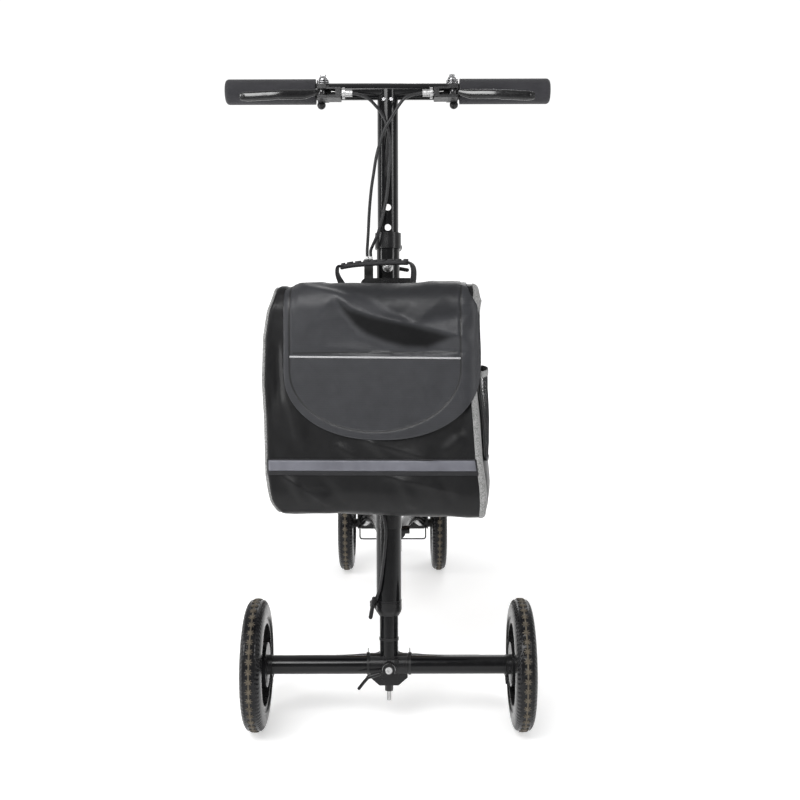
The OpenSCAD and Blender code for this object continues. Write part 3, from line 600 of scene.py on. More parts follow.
STAY_ROUTE = [(15, POST_Y - 6, 187), (20, POST_Y + 30, 186), (28, POST_Y + 85, 181), (38, POST_Y + 140, 171),
              (47, POST_Y + 200, 152), (54, REAR_Y - 60, 127), (58, REAR_Y - 32, 115), (60, REAR_Y - 13.5, 112)]
stays = pair_of_tubes("stay_tubes", "stay_", STAY_ROUTE, 11, plain, 40)
finish_piece(stays, "frame", PAINT, "frame_paint", "rear_stays")

# x and z of one half of the wire bail, from the axle
BAIL_HALF = [(30, -30), (62, -30), (68, -29), (70, -25), (70, -14), (70, -4), (69, -0.6), (66, 0), (60, 0)]
bail_route = [(-x, z) for x, z in reversed(BAIL_HALF)] + BAIL_HALF
bail = tube("bail_wire", [(x, REAR_Y - 10, AXLE_Z - 2.5 + z) for x, z in bail_route], 1.5, plain, 12, 4)
finish_piece(bail, "bail", SATIN, "dark_metal", "rear_bail")

LEFT_ROUTE = [(-53, -28, 867), (-46, -28, 866), (-36, -27.5, 863), (-26, -26.5, 857), (-18, -25, 849),
              (-11, -23.5, 841), (-4, -22, 829), (1, -21.5, 812), (3, -21.5, 790), (2.5, -21.5, 765),
              (1, -21.5, 740), (-1, -21.5, 718), (-5, -21.5, 695), (-10, -22, 674), (-16, -21.5, 654),
              (-22, -18, 641), (-26, -14.5, 632), (-26, -14, 623)]
RIGHT_ROUTE = [(53, -28, 867), (46, -28, 866), (36, -28.5, 864), (26, -29, 859), (19, -29, 851),
               (13, -28.5, 842), (5, -28, 829), (-4, -28, 814), (-11, -27, 794), (-17, -26, 772),
               (-21, -24.5, 748), (-25, -22.5, 722), (-28, -20, 690), (-30, -17, 655), (-31.5, -14.5, 634),
               (-31.5, -14, 623)]
TRUNK_ROUTE = [(-29, -14, 575), (-29, -14, 545), (-29, -14, 500), (-29, -14, 450), (-28.5, -14, 400),
               (-27, -14, 365), (-25, -14, 335), (-24, -14, 305), (-21, -15.5, 275), (-14, -20, 250),
               (-7, -23, 228), (-4, -23, 205), (-6, -22.5, 175), (-9.5, -21, 145), (-13.5, -18.8, 120),
               (-18, -14.5, 106), (-21.5, -7.5, 99), (-22.5, 1, 93), (-20.5, 10, 86), (-16, 17, 77),
               (-9, 21, 67), (-3, 22, 58), (0, 22, 50)]
BRANCH_ROUTE = [(5, 22, 30), (7, 22.5, 22), (12, 22.5, 14.5), (20, 21.5, 11), (30, 19.5, 10.2), (42, 16.5, 10.6),
                (54, 15.2, 10), (66, 15.3, 9.4), (84, 15.5, 9), (104, 15.5, 9), (124, 15.5, 9), (142, 15.8, 8.6),
                (156, 16.7, 5.5), (166, 17.4, -0.5), (173, 17, -7.5), (177.5, 15.2, -13.5), (180, 12, -17)]
upper = join("brake_cables_upper", [tube("cable_left", LEFT_ROUTE, CABLE_R), tube("cable_right", RIGHT_ROUTE, CABLE_R)])
trunk = tube("brake_cable_trunk", TRUNK_ROUTE, CABLE_R)
for obj, node, ends, low, high in ((upper, "upper_cables", ("column", "handlebar"), 640, 845),
                                   (trunk, "lower_cables", ("steering", "column"), 285, 365)):
    finish_piece(obj, None, CABLE, "cable_jacket", node)
    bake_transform(obj)
finish_piece(pair_of_tubes("brake_cable_branches", "branch_", BRANCH_ROUTE, CABLE_R), "steering", CABLE, "cable_jacket")

# ---------- handlebar ----------
PIVOT_X, PIVOT_Y, PIVOT_S = 98.5, -34, BAR_S - 10.5


def upright(name, x, y, heights, r, sides, scales=None):
    """A turned piece that stands along the column."""
    return sweep(name, column([(x, y, s) for s in heights]), round_section(r, sides), (1, 0, 0),
                 scales and [(k, k) for k in scales])


def lever_blade(side, word):
    """A cast lever: a rounded blade that leaves the pivot, bends outwards and ends in a slotted tip."""
    path = spline([(8, -3, 0), (18, -4, -2.5), (30, -6, -4.5), (46, -9.5, -5.4), (62, -12, -6.4), (82, -13, -7.6),
                   (102, -13.8, -8.8), (114, -14, -9.4), (121, -14, -9.7)], 6)
    tall = np.interp(path[:, 0], [8, 18, 26, 60, 66, 72, 110, 118, 121], [8, 11.5, 14, 14.4, 12.6, 14.4, 14.4, 12, 9])
    thick = np.interp(path[:, 0], [8, 26, 60, 110, 121], [5, 6.5, 6.5, 7, 5])
    path = path * (side, 1, 1) + (side * PIVOT_X, PIVOT_Y, PIVOT_S)
    blade = sweep("blade", column(path), soft_section(1, 1, 2.6, 28), ALONG, list(zip(thick, tall)))
    eye = upright("eye", side * PIVOT_X, PIVOT_Y, [PIVOT_S + h for h in (-4.2, -3.6, 3.6, 4.2)], 6.2, 24,
                  (0.93, 1, 1, 0.93))
    pin = upright("pin", side * PIVOT_X, PIVOT_Y, (PIVOT_S - 7, PIVOT_S + 7), 2.45, 16)
    insert = sweep("lever_tip_" + word, column([(side * (PIVOT_X + x), -51.6, BAR_S - 20.2)
                                                for x in (113.5, 114.2, 118.5, 119.2)]),
                   soft_section(2.4, 5.4, 3, 16), ALONG, [(0.7, 0.8), (1, 1), (1, 1), (0.7, 0.8)])
    finish_piece(join("lever_" + word, [blade, eye, pin]), "lever_" + word, GLOSS, "gloss_black", "brake_lever_" + word)
    finish_piece(insert, "lever_" + word, BLACK, "black_plastic")


for side, word in SIDES:
    lever_blade(side, word)

# A domed screw and its spring washer on top of each bracket
for side, word in SIDES:
    dome = upright("dome", side * PIVOT_X, -3, [BAR_S + h for h in (14.5, 15, 18, 20.6, 22.6, 23.6)], 7.0, 24,
                   (0.9, 1, 1, 0.86, 0.56, 0.12))
    coil = [(side * PIVOT_X + 8.2 * math.cos(a), -12 + 5.0 * math.sin(a), BAR_S + 6.5 + 0.42 * a)
            for a in np.linspace(0, 6 * math.pi, 60)]
    spring = sweep("spring", column(coil), round_section(0.9, 8), (0.2, 0.3, 0.93))
    finish_piece(join("clamp_screw_" + word, [dome, spring]), "handlebar", CHROME, "chrome_parts")

# The bare inner wires between the brackets and the screwed stops
wires = [sweep("wire", column([(side * 84, -38.3, BAR_S - 10), (side * 69, -33, BAR_S - 10)]), round_section(0.8, 10),
               (0, 0, 1)) for side, _ in SIDES]
finish_piece(join("inner_wires", wires), "handlebar", STEEL, "bright_steel")


# ---------- bag ----------
def bag_loop():
    """The bag's outline seen from the side, as (y, s) with outward normals, from the lid's hinge forwards and round."""
    f, k, hinge, pitch = FRONT_ROUND, BACK_ROUND, np.array((HINGE_Y, CLOTH_TOP)), 2.4
    points, normals = [], []

    def run(start, stop, normal):
        n = max(2, int(math.dist(start, stop) / pitch))
        points.extend(start + (stop - start) * i / n for i in range(n))
        normals.extend([normal] * n)

    last = hinge
    for y, s, r, quarter in ((BAG_FRONT + f, CLOTH_TOP - f, f, 1), (BAG_FRONT + f, BAG_BOTTOM + f, f, 2),
                             (BAG_BACK - k, BAG_BOTTOM + k, k, 3), (BAG_BACK - k, CLOTH_TOP - k, k, 0)):
        n = max(6, int(r * math.pi / 2 / pitch))
        turns = [math.pi / 2 * (quarter + i / n) for i in range(n + 1)]
        arc = np.array([(math.cos(a), math.sin(a)) for a in turns])
        run(last, (y, s) + r * arc[0], arc[0])
        points.extend((y, s) + r * arc[:-1])
        normals.extend(arc[:-1])
        last = (y, s) + r * arc[-1]
    run(last, hinge, (0, 1))
    p, q = np.array(points), np.array(normals)
    step = np.linalg.norm(np.diff(np.vstack([p, p[:1]]), axis=0), axis=1)
    return p, q, np.concatenate([[0], np.cumsum(step)])


LOOP, LOOP_NORMAL, LOOP_AT = bag_loop()
LOOP_LENGTH = LOOP_AT[-1]


def on_loop(t):
    """(y, s) and normal at arc lengths t from the hinge; t may be negative."""
    t = np.asarray(t, float) % LOOP_LENGTH
    point, normal = (np.stack([np.interp(t, LOOP_AT, np.append(p[:, k], p[0, k])) for k in (0, 1)], -1)
                     for p in (LOOP, LOOP_NORMAL))
    return point, normal / np.linalg.norm(normal, axis=-1, keepdims=True)


FRONT_START = (HINGE_Y - BAG_FRONT - FRONT_ROUND) + FRONT_ROUND * math.pi / 2
# On the front panel, the length along the loop and the height up the bag add up to this
FRONT_SUM = FRONT_START + (CLOTH_TOP - FRONT_ROUND)
SIDE_CENTRE = np.array(((BAG_FRONT + BAG_BACK) / 2, (BAG_BOTTOM + CLOTH_TOP) / 2))
# Half widths of the wrapped panel at heights up the bag: its left edge, and its right seam
EDGES = {-1: ((243, 136), (262, 143), (300, 149), (380, 151), (430, 154), (493, 152), (523, 147.5), (532, 145.5),
              (543, 142), (555, 139.5), (572, 138)),
         1: ((243, 155), (262, 157), (284, 156), (321, 150.5), (376, 147), (421, 142.5), (500, 142.5), (530, 144),
             (552, 148), (563, 146), (572, 141))}
BULGE = {-1: 5.0, 1: 9.0}


def side_edge(side, s):
    return np.interp(s, *zip(*EDGES[side]))


def side_swell(side, q, s):
    """How far a side panel stands out, at the share q of the way from its middle to its rim."""
    return BULGE[side] * (1 - q ** 2.6) * (0.75 + 0.25 * (1 - smooth(300, 520, s)))


# Soft folds of the body as (x, s) to (x, s), height and width; creases with their widths above and below
RIDGES = ((-122, 430, -96, 330, 3.5, 9), (-136, 500, -132, 390, -4.5, 7), (-118, 298, -92, 256, 3.2, 8),
          (-74, 300, -40, 250, -3, 9), (-10, 352, 24, 322, 2.6, 7), (36, 300, 62, 250, 3.4, 8),
          (128, 360, 96, 326, 2.8, 9), (90, 300, 112, 258, -3, 8), (-52, 345, -20, 322, 2.4, 6),
          (134, 424, 120, 350, -3, 8))
SHELVES = ((-20, 350, 90, 318, 4.0, 14, 5), (-130, 300, -60, 258, 3.5, 12, 5), (10, 300, 120, 276, 3.2, 10, 5))


def fold_place(x, s, ax, ay, bx, by):
    """Share of the way from a to b, and the distance to the left of that line."""
    dx, dy = bx - ax, by - ay
    length = math.hypot(dx, dy)
    return ((x - ax) * dx + (s - ay) * dy) / length ** 2, ((s - ay) * dx - (x - ax) * dy) / length


def body_folds(x, s):
    folds = 0.0
    for *ends, height, width in RIDGES:
        along, off = fold_place(x, s, *ends)
        fade = smooth(-0.08, 0.35, along) * (1 - smooth(0.65, 1.08, along))
        folds = folds + height * fade * np.exp(-(off / width) ** 2)
    for *ends, height, above, below in SHELVES:
        along, off = fold_place(x, s, *ends)
        fade = smooth(-0.06, 0.15, along) * (1 - smooth(0.85, 1.05, along))
        folds = folds + height * fade * np.exp(-np.abs(off) / np.where(off > 0, above, below))
    return folds


def ripple(x, s, size, seed):
    """Soft noise from -1 to 1 over the cloth."""
    x, s = np.broadcast_arrays(np.asarray(x, float), np.asarray(s, float))
    out = [noise.noise(Vector((u / size[0], v / size[1], seed))) for u, v in zip(x.ravel(), s.ravel())]
    return np.array(out).reshape(x.shape)


FLAP_LEFT, FLAP_RIGHT = -125.0, 149.5
FLAP_MID, FLAP_HALF = 12.25, 137.25
FLAP_LOW, FLAP_RISE = 349.0, 94.0


def flap_edge_s(x):
    """Height of the flap's lower edge: half of an ellipse."""
    u = np.clip((x - FLAP_MID) / FLAP_HALF, -1, 1)
    return FLAP_LOW + FLAP_RISE * (1 - np.sqrt(np.maximum(0, 1 - np.abs(u) ** 2.25)))


def body_relief(x, y, s):
    """How far the body's cloth stands out from its plain shape."""
    front = 1 - smooth(-156, -140, y)
    d = 2.2 * ripple(x, s + y * 0.6, (46, 70), 3.1) + 1.3 * ripple(x + s * 0.5, s - x * 0.3, (26, 40), 8.7)
    low = 1 - smooth(270, 330, s)
    crown = 5.5 * np.sin(math.pi * np.clip((s - BAG_BOTTOM) / (BAG_TOP - BAG_BOTTOM), 0, 1)) ** 0.7
    crown = crown * np.cos(np.clip(x / 165, -1, 1) * math.pi / 2) - 2.5
    under = smooth(8, 26, s - flap_edge_s(x)) * smooth(FLAP_LEFT, FLAP_LEFT + 10, x) * (1 - smooth(118, 128, x))
    cover = front * (body_folds(x, s) + crown) * (1 - under) - 9.0 * under * front
    return cover + d * (0.55 + 0.45 * front) * (1 - 0.7 * under) + low * 2.6 * ripple(x, y, (38, 30), 5.5)


def wrap_point(x_share, t):
    """Points of the wrapped panel, for x from -1 to 1 across it and t along the loop."""
    at, normal = on_loop(t)
    y, s = at[..., 0], at[..., 1]
    half, r = np.where(x_share < 0, side_edge(-1, s), side_edge(1, s)), np.where(x_share < 0, 7.0, 9.0)
    x = x_share * half
    turned = 1 - np.sqrt(1 - np.clip((np.abs(x) - half + r) / r, 0, 1) ** 2 * 0.98)
    inset = r * 0.8 * turned
    held = 1 - smooth(0.93, 1.0, np.abs(x_share))
    top = 1 - 0.75 * smooth(545, 568, s)
    out = body_relief(x, y, s) * held * top - inset
    back = smooth(-60, -44, y)
    out = out * (1 - back) - inset * back
    sag = 5.0 * smooth(-60, 150, x) * (1 - smooth(243, 300, s))
    sag = sag - smooth(548, 562, s) * (2.6 * (1 - smooth(-128, -116, x)) + 2.5 * smooth(118, 130, x))
    return np.stack([x, y + out * normal[..., 0], s + out * normal[..., 1] - sag], -1)


def bag_body():
    """One panel wrapped front to back, two bulging side panels, and a mouth under the lid."""
    across, along, rings = 97, len(LOOP), 12
    shares = np.sin(np.linspace(-math.pi / 2, math.pi / 2, across) * 0.82) / math.sin(math.pi / 2 * 0.82)
    wrap = wrap_point(shares[None, :], LOOP_AT[:-1, None])
    mouth = (LOOP[:, 1] > CLOTH_TOP - 0.5) & (LOOP[:, 0] > MOUTH_FRONT) & (LOOP[:, 0] < MOUTH_BACK)
    mouth = (mouth[:, None] & (np.abs(wrap[..., 0]) < MOUTH_HALF - 12)).ravel()
    faces = [f for f in grid_faces(along, across, True) if not all(mouth[i] for i in f)]
    points = [wrap.reshape(-1, 3)]
    for side, column_index in ((-1, 0), (1, across - 1)):
        rim = wrap[:, column_index]
        last = [i * across + column_index for i in range(along)]
        for q in 1 - np.arange(1, rings + 1) / rings:
            yz = SIDE_CENTRE + (rim[:, 1:] - SIDE_CENTRE) * max(q, 0.02)
            rough = 1.6 * ripple(yz[:, 0], yz[:, 1], (40, 60), 11 + side) * (1 - q ** 4)
            out = side_edge(side, yz[:, 1]) + side_swell(side, q, yz[:, 1]) + rough
            now = [sum(map(len, points)) + i for i in range(along)]
            points.append(np.column_stack([side * out, yz]))
            faces += [(last[i - 1], last[i], now[i], now[i - 1]) for i in range(along)]
            last = now
        faces.append(tuple(last))
    obj = outward(mesh("bag_body", bag(np.concatenate(points)), faces))
    if obj.data.polygons[0].normal.z < 0:
        obj.data.flip_normals()
    thicken(obj, 2.4)
    finish_piece(obj, "column", BODY_CLOTH, "bag_nylon", "bag_shell")


bag_body()

# Facets of the crumpled upper part: (x, height along the cloth, depth), and the creases between them
FACETS = ((-125, 467, 0), (146, 467, 0), (-125, 605, 1), (146, 605, 1), (-112, 585, 3), (-68, 562, 2), (-4, 540, 1),
          (40, 520, 0.5), (62, 508, 4), (-100, 562, 6), (-52, 547, 8.5), (-28, 531, 8.5), (-1, 522, 8), (40, 513, 7),
          (120, 492, 5.5), (120, 517, -1.0), (100, 548, 3), (62, 548, 0.5), (20, 570, 0), (-42, 522, -0.5),
          (-15, 489, -4), (40, 467, -5.5), (95, 474, -4), (-90, 505, 3), (-70, 478, 0.5), (-108, 530, 2),
          (146, 490, 2), (146, 530, 1), (75, 590, 2), (-60, 600, 4))
CREASES = ((4, 5), (5, 6), (6, 7), (7, 8), (9, 10), (10, 11), (11, 12), (12, 13), (13, 8), (8, 14), (8, 15), (10, 19),
           (19, 20), (20, 21), (21, 22), (22, 14), (8, 17), (16, 17), (16, 27), (25, 23), (23, 24))


def flap_relief(x, h, t):
    """Depth of the flap's folds: sharp facets that meet in a star, and a slightly uneven lower panel."""
    plan = [Vector(p[:2]) for p in FACETS]
    corners, _, triangles, origin, _, _ = geometry.delaunay_2d_cdt(plan, CREASES, [], 0, 1e-4)
    depth = [FACETS[o[0]][2] if o else 0.0 for o in origin]
    d = np.zeros(x.shape)
    for i, j, k in triangles:
        (ax, ay), (bx, by), (cx, cy) = corners[i], corners[j], corners[k]
        area = (bx - ax) * (cy - ay) - (cx - ax) * (by - ay)
        if abs(area) < 1e-6:
            continue
        v = ((x - ax) * (cy - ay) - (cx - ax) * (h - ay)) / area
        w = ((bx - ax) * (h - ay) - (x - ax) * (by - ay)) / area
        inside = (v >= -1e-6) & (w >= -1e-6) & (v + w <= 1 + 1e-6)
        d = np.where(inside, depth[i] + v * (depth[j] - depth[i]) + w * (depth[k] - depth[i]), d)
    for _ in range(2):
        d[1:-1] = (d[:-2] + 2 * d[1:-1] + d[2:]) / 4
        d[:, 1:-1] = (d[:, :-2] + 2 * d[:, 1:-1] + d[:, 2:]) / 4
    soft = 0.9 * ripple(x, t, (60, 44), 21.0) + 0.3 * ripple(x, t, (17, 13), 27.0)
    lower = 1 - smooth(462, 468, h)
    return d * (1 - lower) + soft * (1 - 0.5 * lower) + 1.9


# Where shade is painted on the flap, as (x, height along the cloth): the hollow of the big fold, and the less lit cloth
# above the crease
PAINTED_SHADE_HOLLOW = ((-54, 545), (-26, 532), (0, 523), (40, 514), (62, 509), (92, 501), (119, 492), (100, 482), (77, 473),
          (48, 474), (20, 481), (-8, 492), (-26, 505), (-40, 522))
PAINTED_SHADE_ABOVE = ((-70, 566), (-40, 551), (-4, 541), (40, 521), (62, 509), (90, 515), (122, 520), (124, 600), (-70, 600))


def polygon_depth(x, h, corners):
    """How far (x, h) lies inside a polygon; negative outside."""
    inside, near = np.zeros(x.shape, bool), np.full(x.shape, 1e9)
    for (ax, ay), (bx, by) in zip(corners, corners[1:] + corners[:1]):
        dx, dy = bx - ax, by - ay
        t = np.clip(((x - ax) * dx + (h - ay) * dy) / (dx ** 2 + dy ** 2), 0, 1)
        near = np.minimum(near, np.hypot(x - ax - t * dx, h - ay - t * dy))
        inside ^= ((ay > h) != (by > h)) & (x < ax + (h - ay) * dx / (dy or 1e-9))
    return np.where(inside, near, -near)


def flap():
    """The lid over the bag's top and front, from its hinge behind to its round lower edge. Returns its outer points."""
    across, along, behind = 141, 151, 7.0
    xs = FLAP_LEFT + (FLAP_RIGHT - FLAP_LEFT) * np.linspace(0, 1, across)
    t_end = FRONT_SUM - flap_edge_s(xs)
    t = -behind + np.linspace(0, 1, along)[:, None] * (t_end + behind)[None, :]
    at, normal = on_loop(t)
    y, s = at[..., 0], at[..., 1]
    x = np.broadcast_to(xs, t.shape)
    limit = np.interp(t, (0, 84, 106, 122, 138, 175), (127, 129, 135, 145, 148.5, FLAP_RIGHT))
    x = np.where(x > 95, 95 + (x - 95) * (limit - 95) / (FLAP_RIGHT - 95), x)
    wrap_in = 15 * (1 - np.sqrt(1 - (np.clip((x - 124) / 23, 0, 1) * 0.97) ** 2))
    wrap_in = wrap_in + 2.5 * np.clip((-112 - x) / 14, 0, 1) ** 2
    crown = 2.4 * np.cos(np.clip(x / 165, -1, 1) * math.pi / 2)
    h = FRONT_SUM - t
    folds = flap_relief(x, h, t) * (0.3 + 0.7 * smooth(20, 70, t))
    step = 1.2 * smooth(465.5, 467.5, s) * (np.abs(x - 3) < 118)
    out = folds + crown + step - wrap_in + 0.6
    lid = (1 - smooth(78, 112, t)) * smooth(4, 16, t)
    out = out - lid * 2.6 * (smooth(-78, -62, x) * (1 - smooth(50, 84, x)) + 1 - smooth(-114, -98, x))
    out = np.where(t < 12, np.minimum(out, 3.2 + 0.1 * np.maximum(t, 0)), out)
    stitch = (1 - np.hypot((x - 3.3) / 119.3, np.clip((446 - s) / 86, 0, None))) * 100
    out = out + 0.9 * (1 - smooth(2.0, 3.6, np.maximum(stitch, -9) + 3.0)) * (s < 560)
    points = np.stack([x, y + out * normal[..., 0], s + out * normal[..., 1]], -1)
    obj = mesh("flap_cloth", bag(points.reshape(-1, 3)), grid_faces(along, across))
    mark(obj, "stitch", stitch)
    mark(obj, "stitch_low", np.where((x > FLAP_LEFT + 12) & (x < 118), s - 470, 50))
    # Painted shade: a mask, strong in the fold's hollow and weaker above the crease, that darkens the flap's cloth.
    mark(obj, "painted_shade", np.maximum(0.9 * smooth(-2, 9, polygon_depth(x, h, PAINTED_SHADE_HOLLOW)),
                                   0.38 * smooth(-4, 8, polygon_depth(x, h, PAINTED_SHADE_ABOVE))))
    if obj.data.polygons[len(obj.data.polygons) // 2].normal.y > 0:
        obj.data.flip_normals()
    thicken(obj, 2.2)
    finish_piece(obj, None, FLAP_CLOTH, "flap_nylon", "bag_flap")
    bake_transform(obj)
    return points


flap_points = flap()


def flap_point(x, s):
    """The flap's outer surface on its front panel at (x, s)."""
    d = (flap_points[..., 0] - x) ** 2 + (flap_points[..., 2] - s) ** 2 + (flap_points[..., 1] > -130) * 1e6
    return flap_points.reshape(-1, 3)[int(np.argmin(d))]


# Light piping across the flap
pipe_x = np.linspace(-115.5, 122.5, 60)
pipe_s = 465.0 - 3.4 * (pipe_x + 115.5) / 238
pipe_path = np.array([(x, flap_point(x, s)[1] - 0.7, s) for x, s in zip(pipe_x, pipe_s)])
pipe_path[1:-1, 1] = (pipe_path[:-2, 1] + 2 * pipe_path[1:-1, 1] + pipe_path[2:, 1]) / 4
finish_piece(sweep("flap_piping", bag(pipe_path), round_section(1.35, 12), ALONG), "flap", PIPING, "flap_nylon")


def strip_on_wrap(name, shares, t, width, thickness, lift):
    """A flat tape across the wrapped panel, at t along the loop."""
    rows = np.array([wrap_point(shares, np.full(len(shares), t + k * width)) for k in np.linspace(-0.5, 0.5, 7)])
    out = np.cross(np.gradient(rows, axis=1), np.gradient(rows, axis=0))
    out /= np.linalg.norm(out, axis=-1, keepdims=True)
    toward = np.sum(out * (rows - (0, *SIDE_CENTRE)), axis=-1, keepdims=True)
    out = np.where(toward < 0, -out, out)
    for _ in range(3):
        out[:, 1:-1] = (out[:, :-2] + out[:, 1:-1] + out[:, 2:]) / 3
    outer = rows + out * (lift + thickness)
    for edge in (0, -1):
        outer[edge] -= out[edge] * thickness * 0.6
    ring = np.concatenate([outer, (rows + out * (lift - 0.4))[::-1]])
    return skin(name, bag(ring.swapaxes(0, 1)))


STRIP_S = 312.5
shares = np.linspace(-0.995, 0.955, 120)
webbing = strip_on_wrap("strip_webbing", shares, FRONT_SUM - STRIP_S + 1.2, 23, 1.2, 0.3)
finish_piece(webbing, "column", WEBBING, "bag_nylon")
tape = strip_on_wrap("strip_reflective", shares[1:-1], FRONT_SUM - STRIP_S - 1.0, 14.6, 0.5, 1.6)
finish_piece(tape, "column", REFLECT, "flap_nylon")

# Bindings over the two side seams: broad on the right, a thin light edge on the left
seam_t = np.linspace(0, LOOP_LENGTH, 260)[:-1]
seam_normal = on_loop(seam_t)[1]


def seam_row(share):
    """The wrapped panel all the way round the loop, at one share across it."""
    return wrap_point(np.full(len(seam_t), float(share)), seam_t)


def seam_shift(x, k):
    return np.column_stack([np.full(len(seam_t), x), seam_normal * k])


def right_seam(width, lift, depth):
    """A tape folded over the right-hand seam."""
    rim, inner = seam_row(1), seam_row(1 - width / 145)
    out = seam_shift(0.55, 0.83)
    rows = []
    for k in np.linspace(0, 1, 6):
        row = seam_row(1 - width / 145 * (1 - k))
        row[:, 0] = (inner + (rim - inner) * k)[:, 0]
        rows.append(row + out * lift)
    rows += [rim + seam_shift(lift * 1.4, -depth), rim + seam_shift(-1.5, -depth), inner - out * 0.8]
    return skin("seam_right", bag(np.array(rows).swapaxes(0, 1)), True)


finish_piece(right_seam(8.0, 1.1, 5.0), "column", TAPE, "bag_nylon")
cord = sweep("piping_left", bag(seam_row(-1) + seam_shift(-0.6, 0.6)), round_section(2.5, 12), ACROSS, closed=True)
finish_piece(cord, "column", TAPE, "bag_nylon")


def pocket(side, word):
    """A net pocket with a bound mouth."""
    ys, ss = np.arange(-141, -52, 2.3), np.arange(322, 438, 2.3)
    belly = {-1: 5.0, 1: 7.5}[side]
    half = SIDE_CENTRE - (BAG_FRONT, BAG_BOTTOM)

    def at(i, j):
        y, s = ys[i], ss[j]
        s = s + (s - ss[0]) / (ss[-1] - ss[0]) * 12 * (y - ys[0]) / (ys[-1] - ys[0])
        lift = math.sin(math.pi * i / (len(ys) - 1)) ** 0.6 * (0.15 + 0.85 * smooth(322, 436, s)) * smooth(322, 345, s)
        q = max(np.abs(SIDE_CENTRE - (y, s)) / half)
        return side * (side_edge(side, s) + side_swell(side, q, s) + 1.0 + belly * lift), y, s

    used, faces = {}, []
    for i in range(1, len(ys) - 1):
        for j in range(1, len(ss) - 1):
            if (i + j) % 2:
                ring = [(i - 1, j), (i, j - 1), (i + 1, j), (i, j + 1)]
                faces.append([used.setdefault(k, len(used)) for k in ring])
    net = mesh("pocket_net_" + word, bag(np.array([at(*k) for k in used])), faces, False)
    wire = net.modifiers.new("net", "WIREFRAME")
    wire.thickness = 0.8 * MM
    apply_modifiers(net)
    finish_piece(net, "column", NET, "bag_nylon")
    mouth = [(x + side * 0.6, y, s + 2) for x, y, s in (at(i, len(ss) - 1) for i in range(len(ys)))]
    for part, path, width, up, material in (
            ("mouth", mouth, 9, ALONG, TAPE),
            ("front", [at(0, j) for j in range(0, len(ss), 2)], 5, (0, 1, 0.01), WEBBING),
            ("base", [at(i, 0) for i in range(len(ys))], 5, ALONG, WEBBING)):
        edge = sweep(f"pocket_{part}_{word}", bag(np.array(path)), soft_section(2.2, width, 3, 16), up)
        finish_piece(edge, "column", material, "bag_nylon")


for side, word in SIDES:
    pocket(side, word)


# Carry handle: an arched strip with a ribbed top, and a webbing loop at each end
def twisted(name, route, section, degrees):
    """A webbing that twists along its route; degrees lists (place along it, angle)."""
    points = spline(route, 6)
    a = np.radians(np.interp(np.arange(len(points)), *zip(*degrees)))[:, None]
    back = column((0, 1, 0)) - column((0, 0, 0))
    return sweep(name, column(points), section, np.cos(a) * back + np.sin(a) * ACROSS)


def carry_handle():
    path = spline([(-71, -44, 602.6), (-56, -44, 605.4), (-33.6, -44, 607.6), (-6.7, -44, 609.1), (14, -44, 609.6),
                   (31.5, -44, 609.4)], 10)
    place = np.arange(len(path))
    ends = np.minimum(1, np.minimum(place, place[::-1]) / 3 + 0.6)
    pieces = [sweep("handle_strip", column(path), soft_section(9, 7.2, 3.2, 28), ALONG, list(zip(ends, ends)))]
    for k in range(10):
        a = max(-72.65 + k * 12, -69.5)
        b = min(-63.35 + k * 12, 31.0)
        if b - a > 2:
            x = (a, a + 0.4, (a + b) / 2, b - 0.4, b)
            s = np.interp((a, a, (a + b) / 2, b, b), path[:, 0], path[:, 2]) + 2.9
            pieces.append(sweep("rib", column([(u, -44, v) for u, v in zip(x, s)]), soft_section(9.2, 5.4, 3.4, 18),
                                ALONG, [(0.9, 0.85), (1, 1), (1, 1), (1, 1), (0.9, 0.85)]))
    finish_piece(join("carry_strip", pieces), "column", GRIP, "black_plastic", "bag_handle")
    left = [(-66, -44, 604), (-71, -44, 605), (-74.6, -44, 602.5), (-75.4, -44, 596), (-73.8, -43.4, 589),
            (-70.5, -42.6, 582), (-67, -41.8, 575.5), (-64.5, -41, 569), (-63, -40.5, 560)]
    right = [(26, -44, 609.4), (31.5, -44, 609.8), (36.2, -44, 606), (38.6, -44.6, 599), (38.6, -45, 589),
             (37.4, -45.5, 578), (36.4, -46, 570), (36, -46, 560)]
    loops = [twisted("loop_left", left, soft_section(2.6, 12, 4, 18), ((0, 8), (18, 20), (30, 46), (42, 66))),
             twisted("loop_right", right, soft_section(3.4, 12, 4, 18), ((0, 12), (12, 34), (42, 46)))]
    finish_piece(join("carry_webbing", loops), "column", WEBBING, "bag_nylon")


carry_handle()


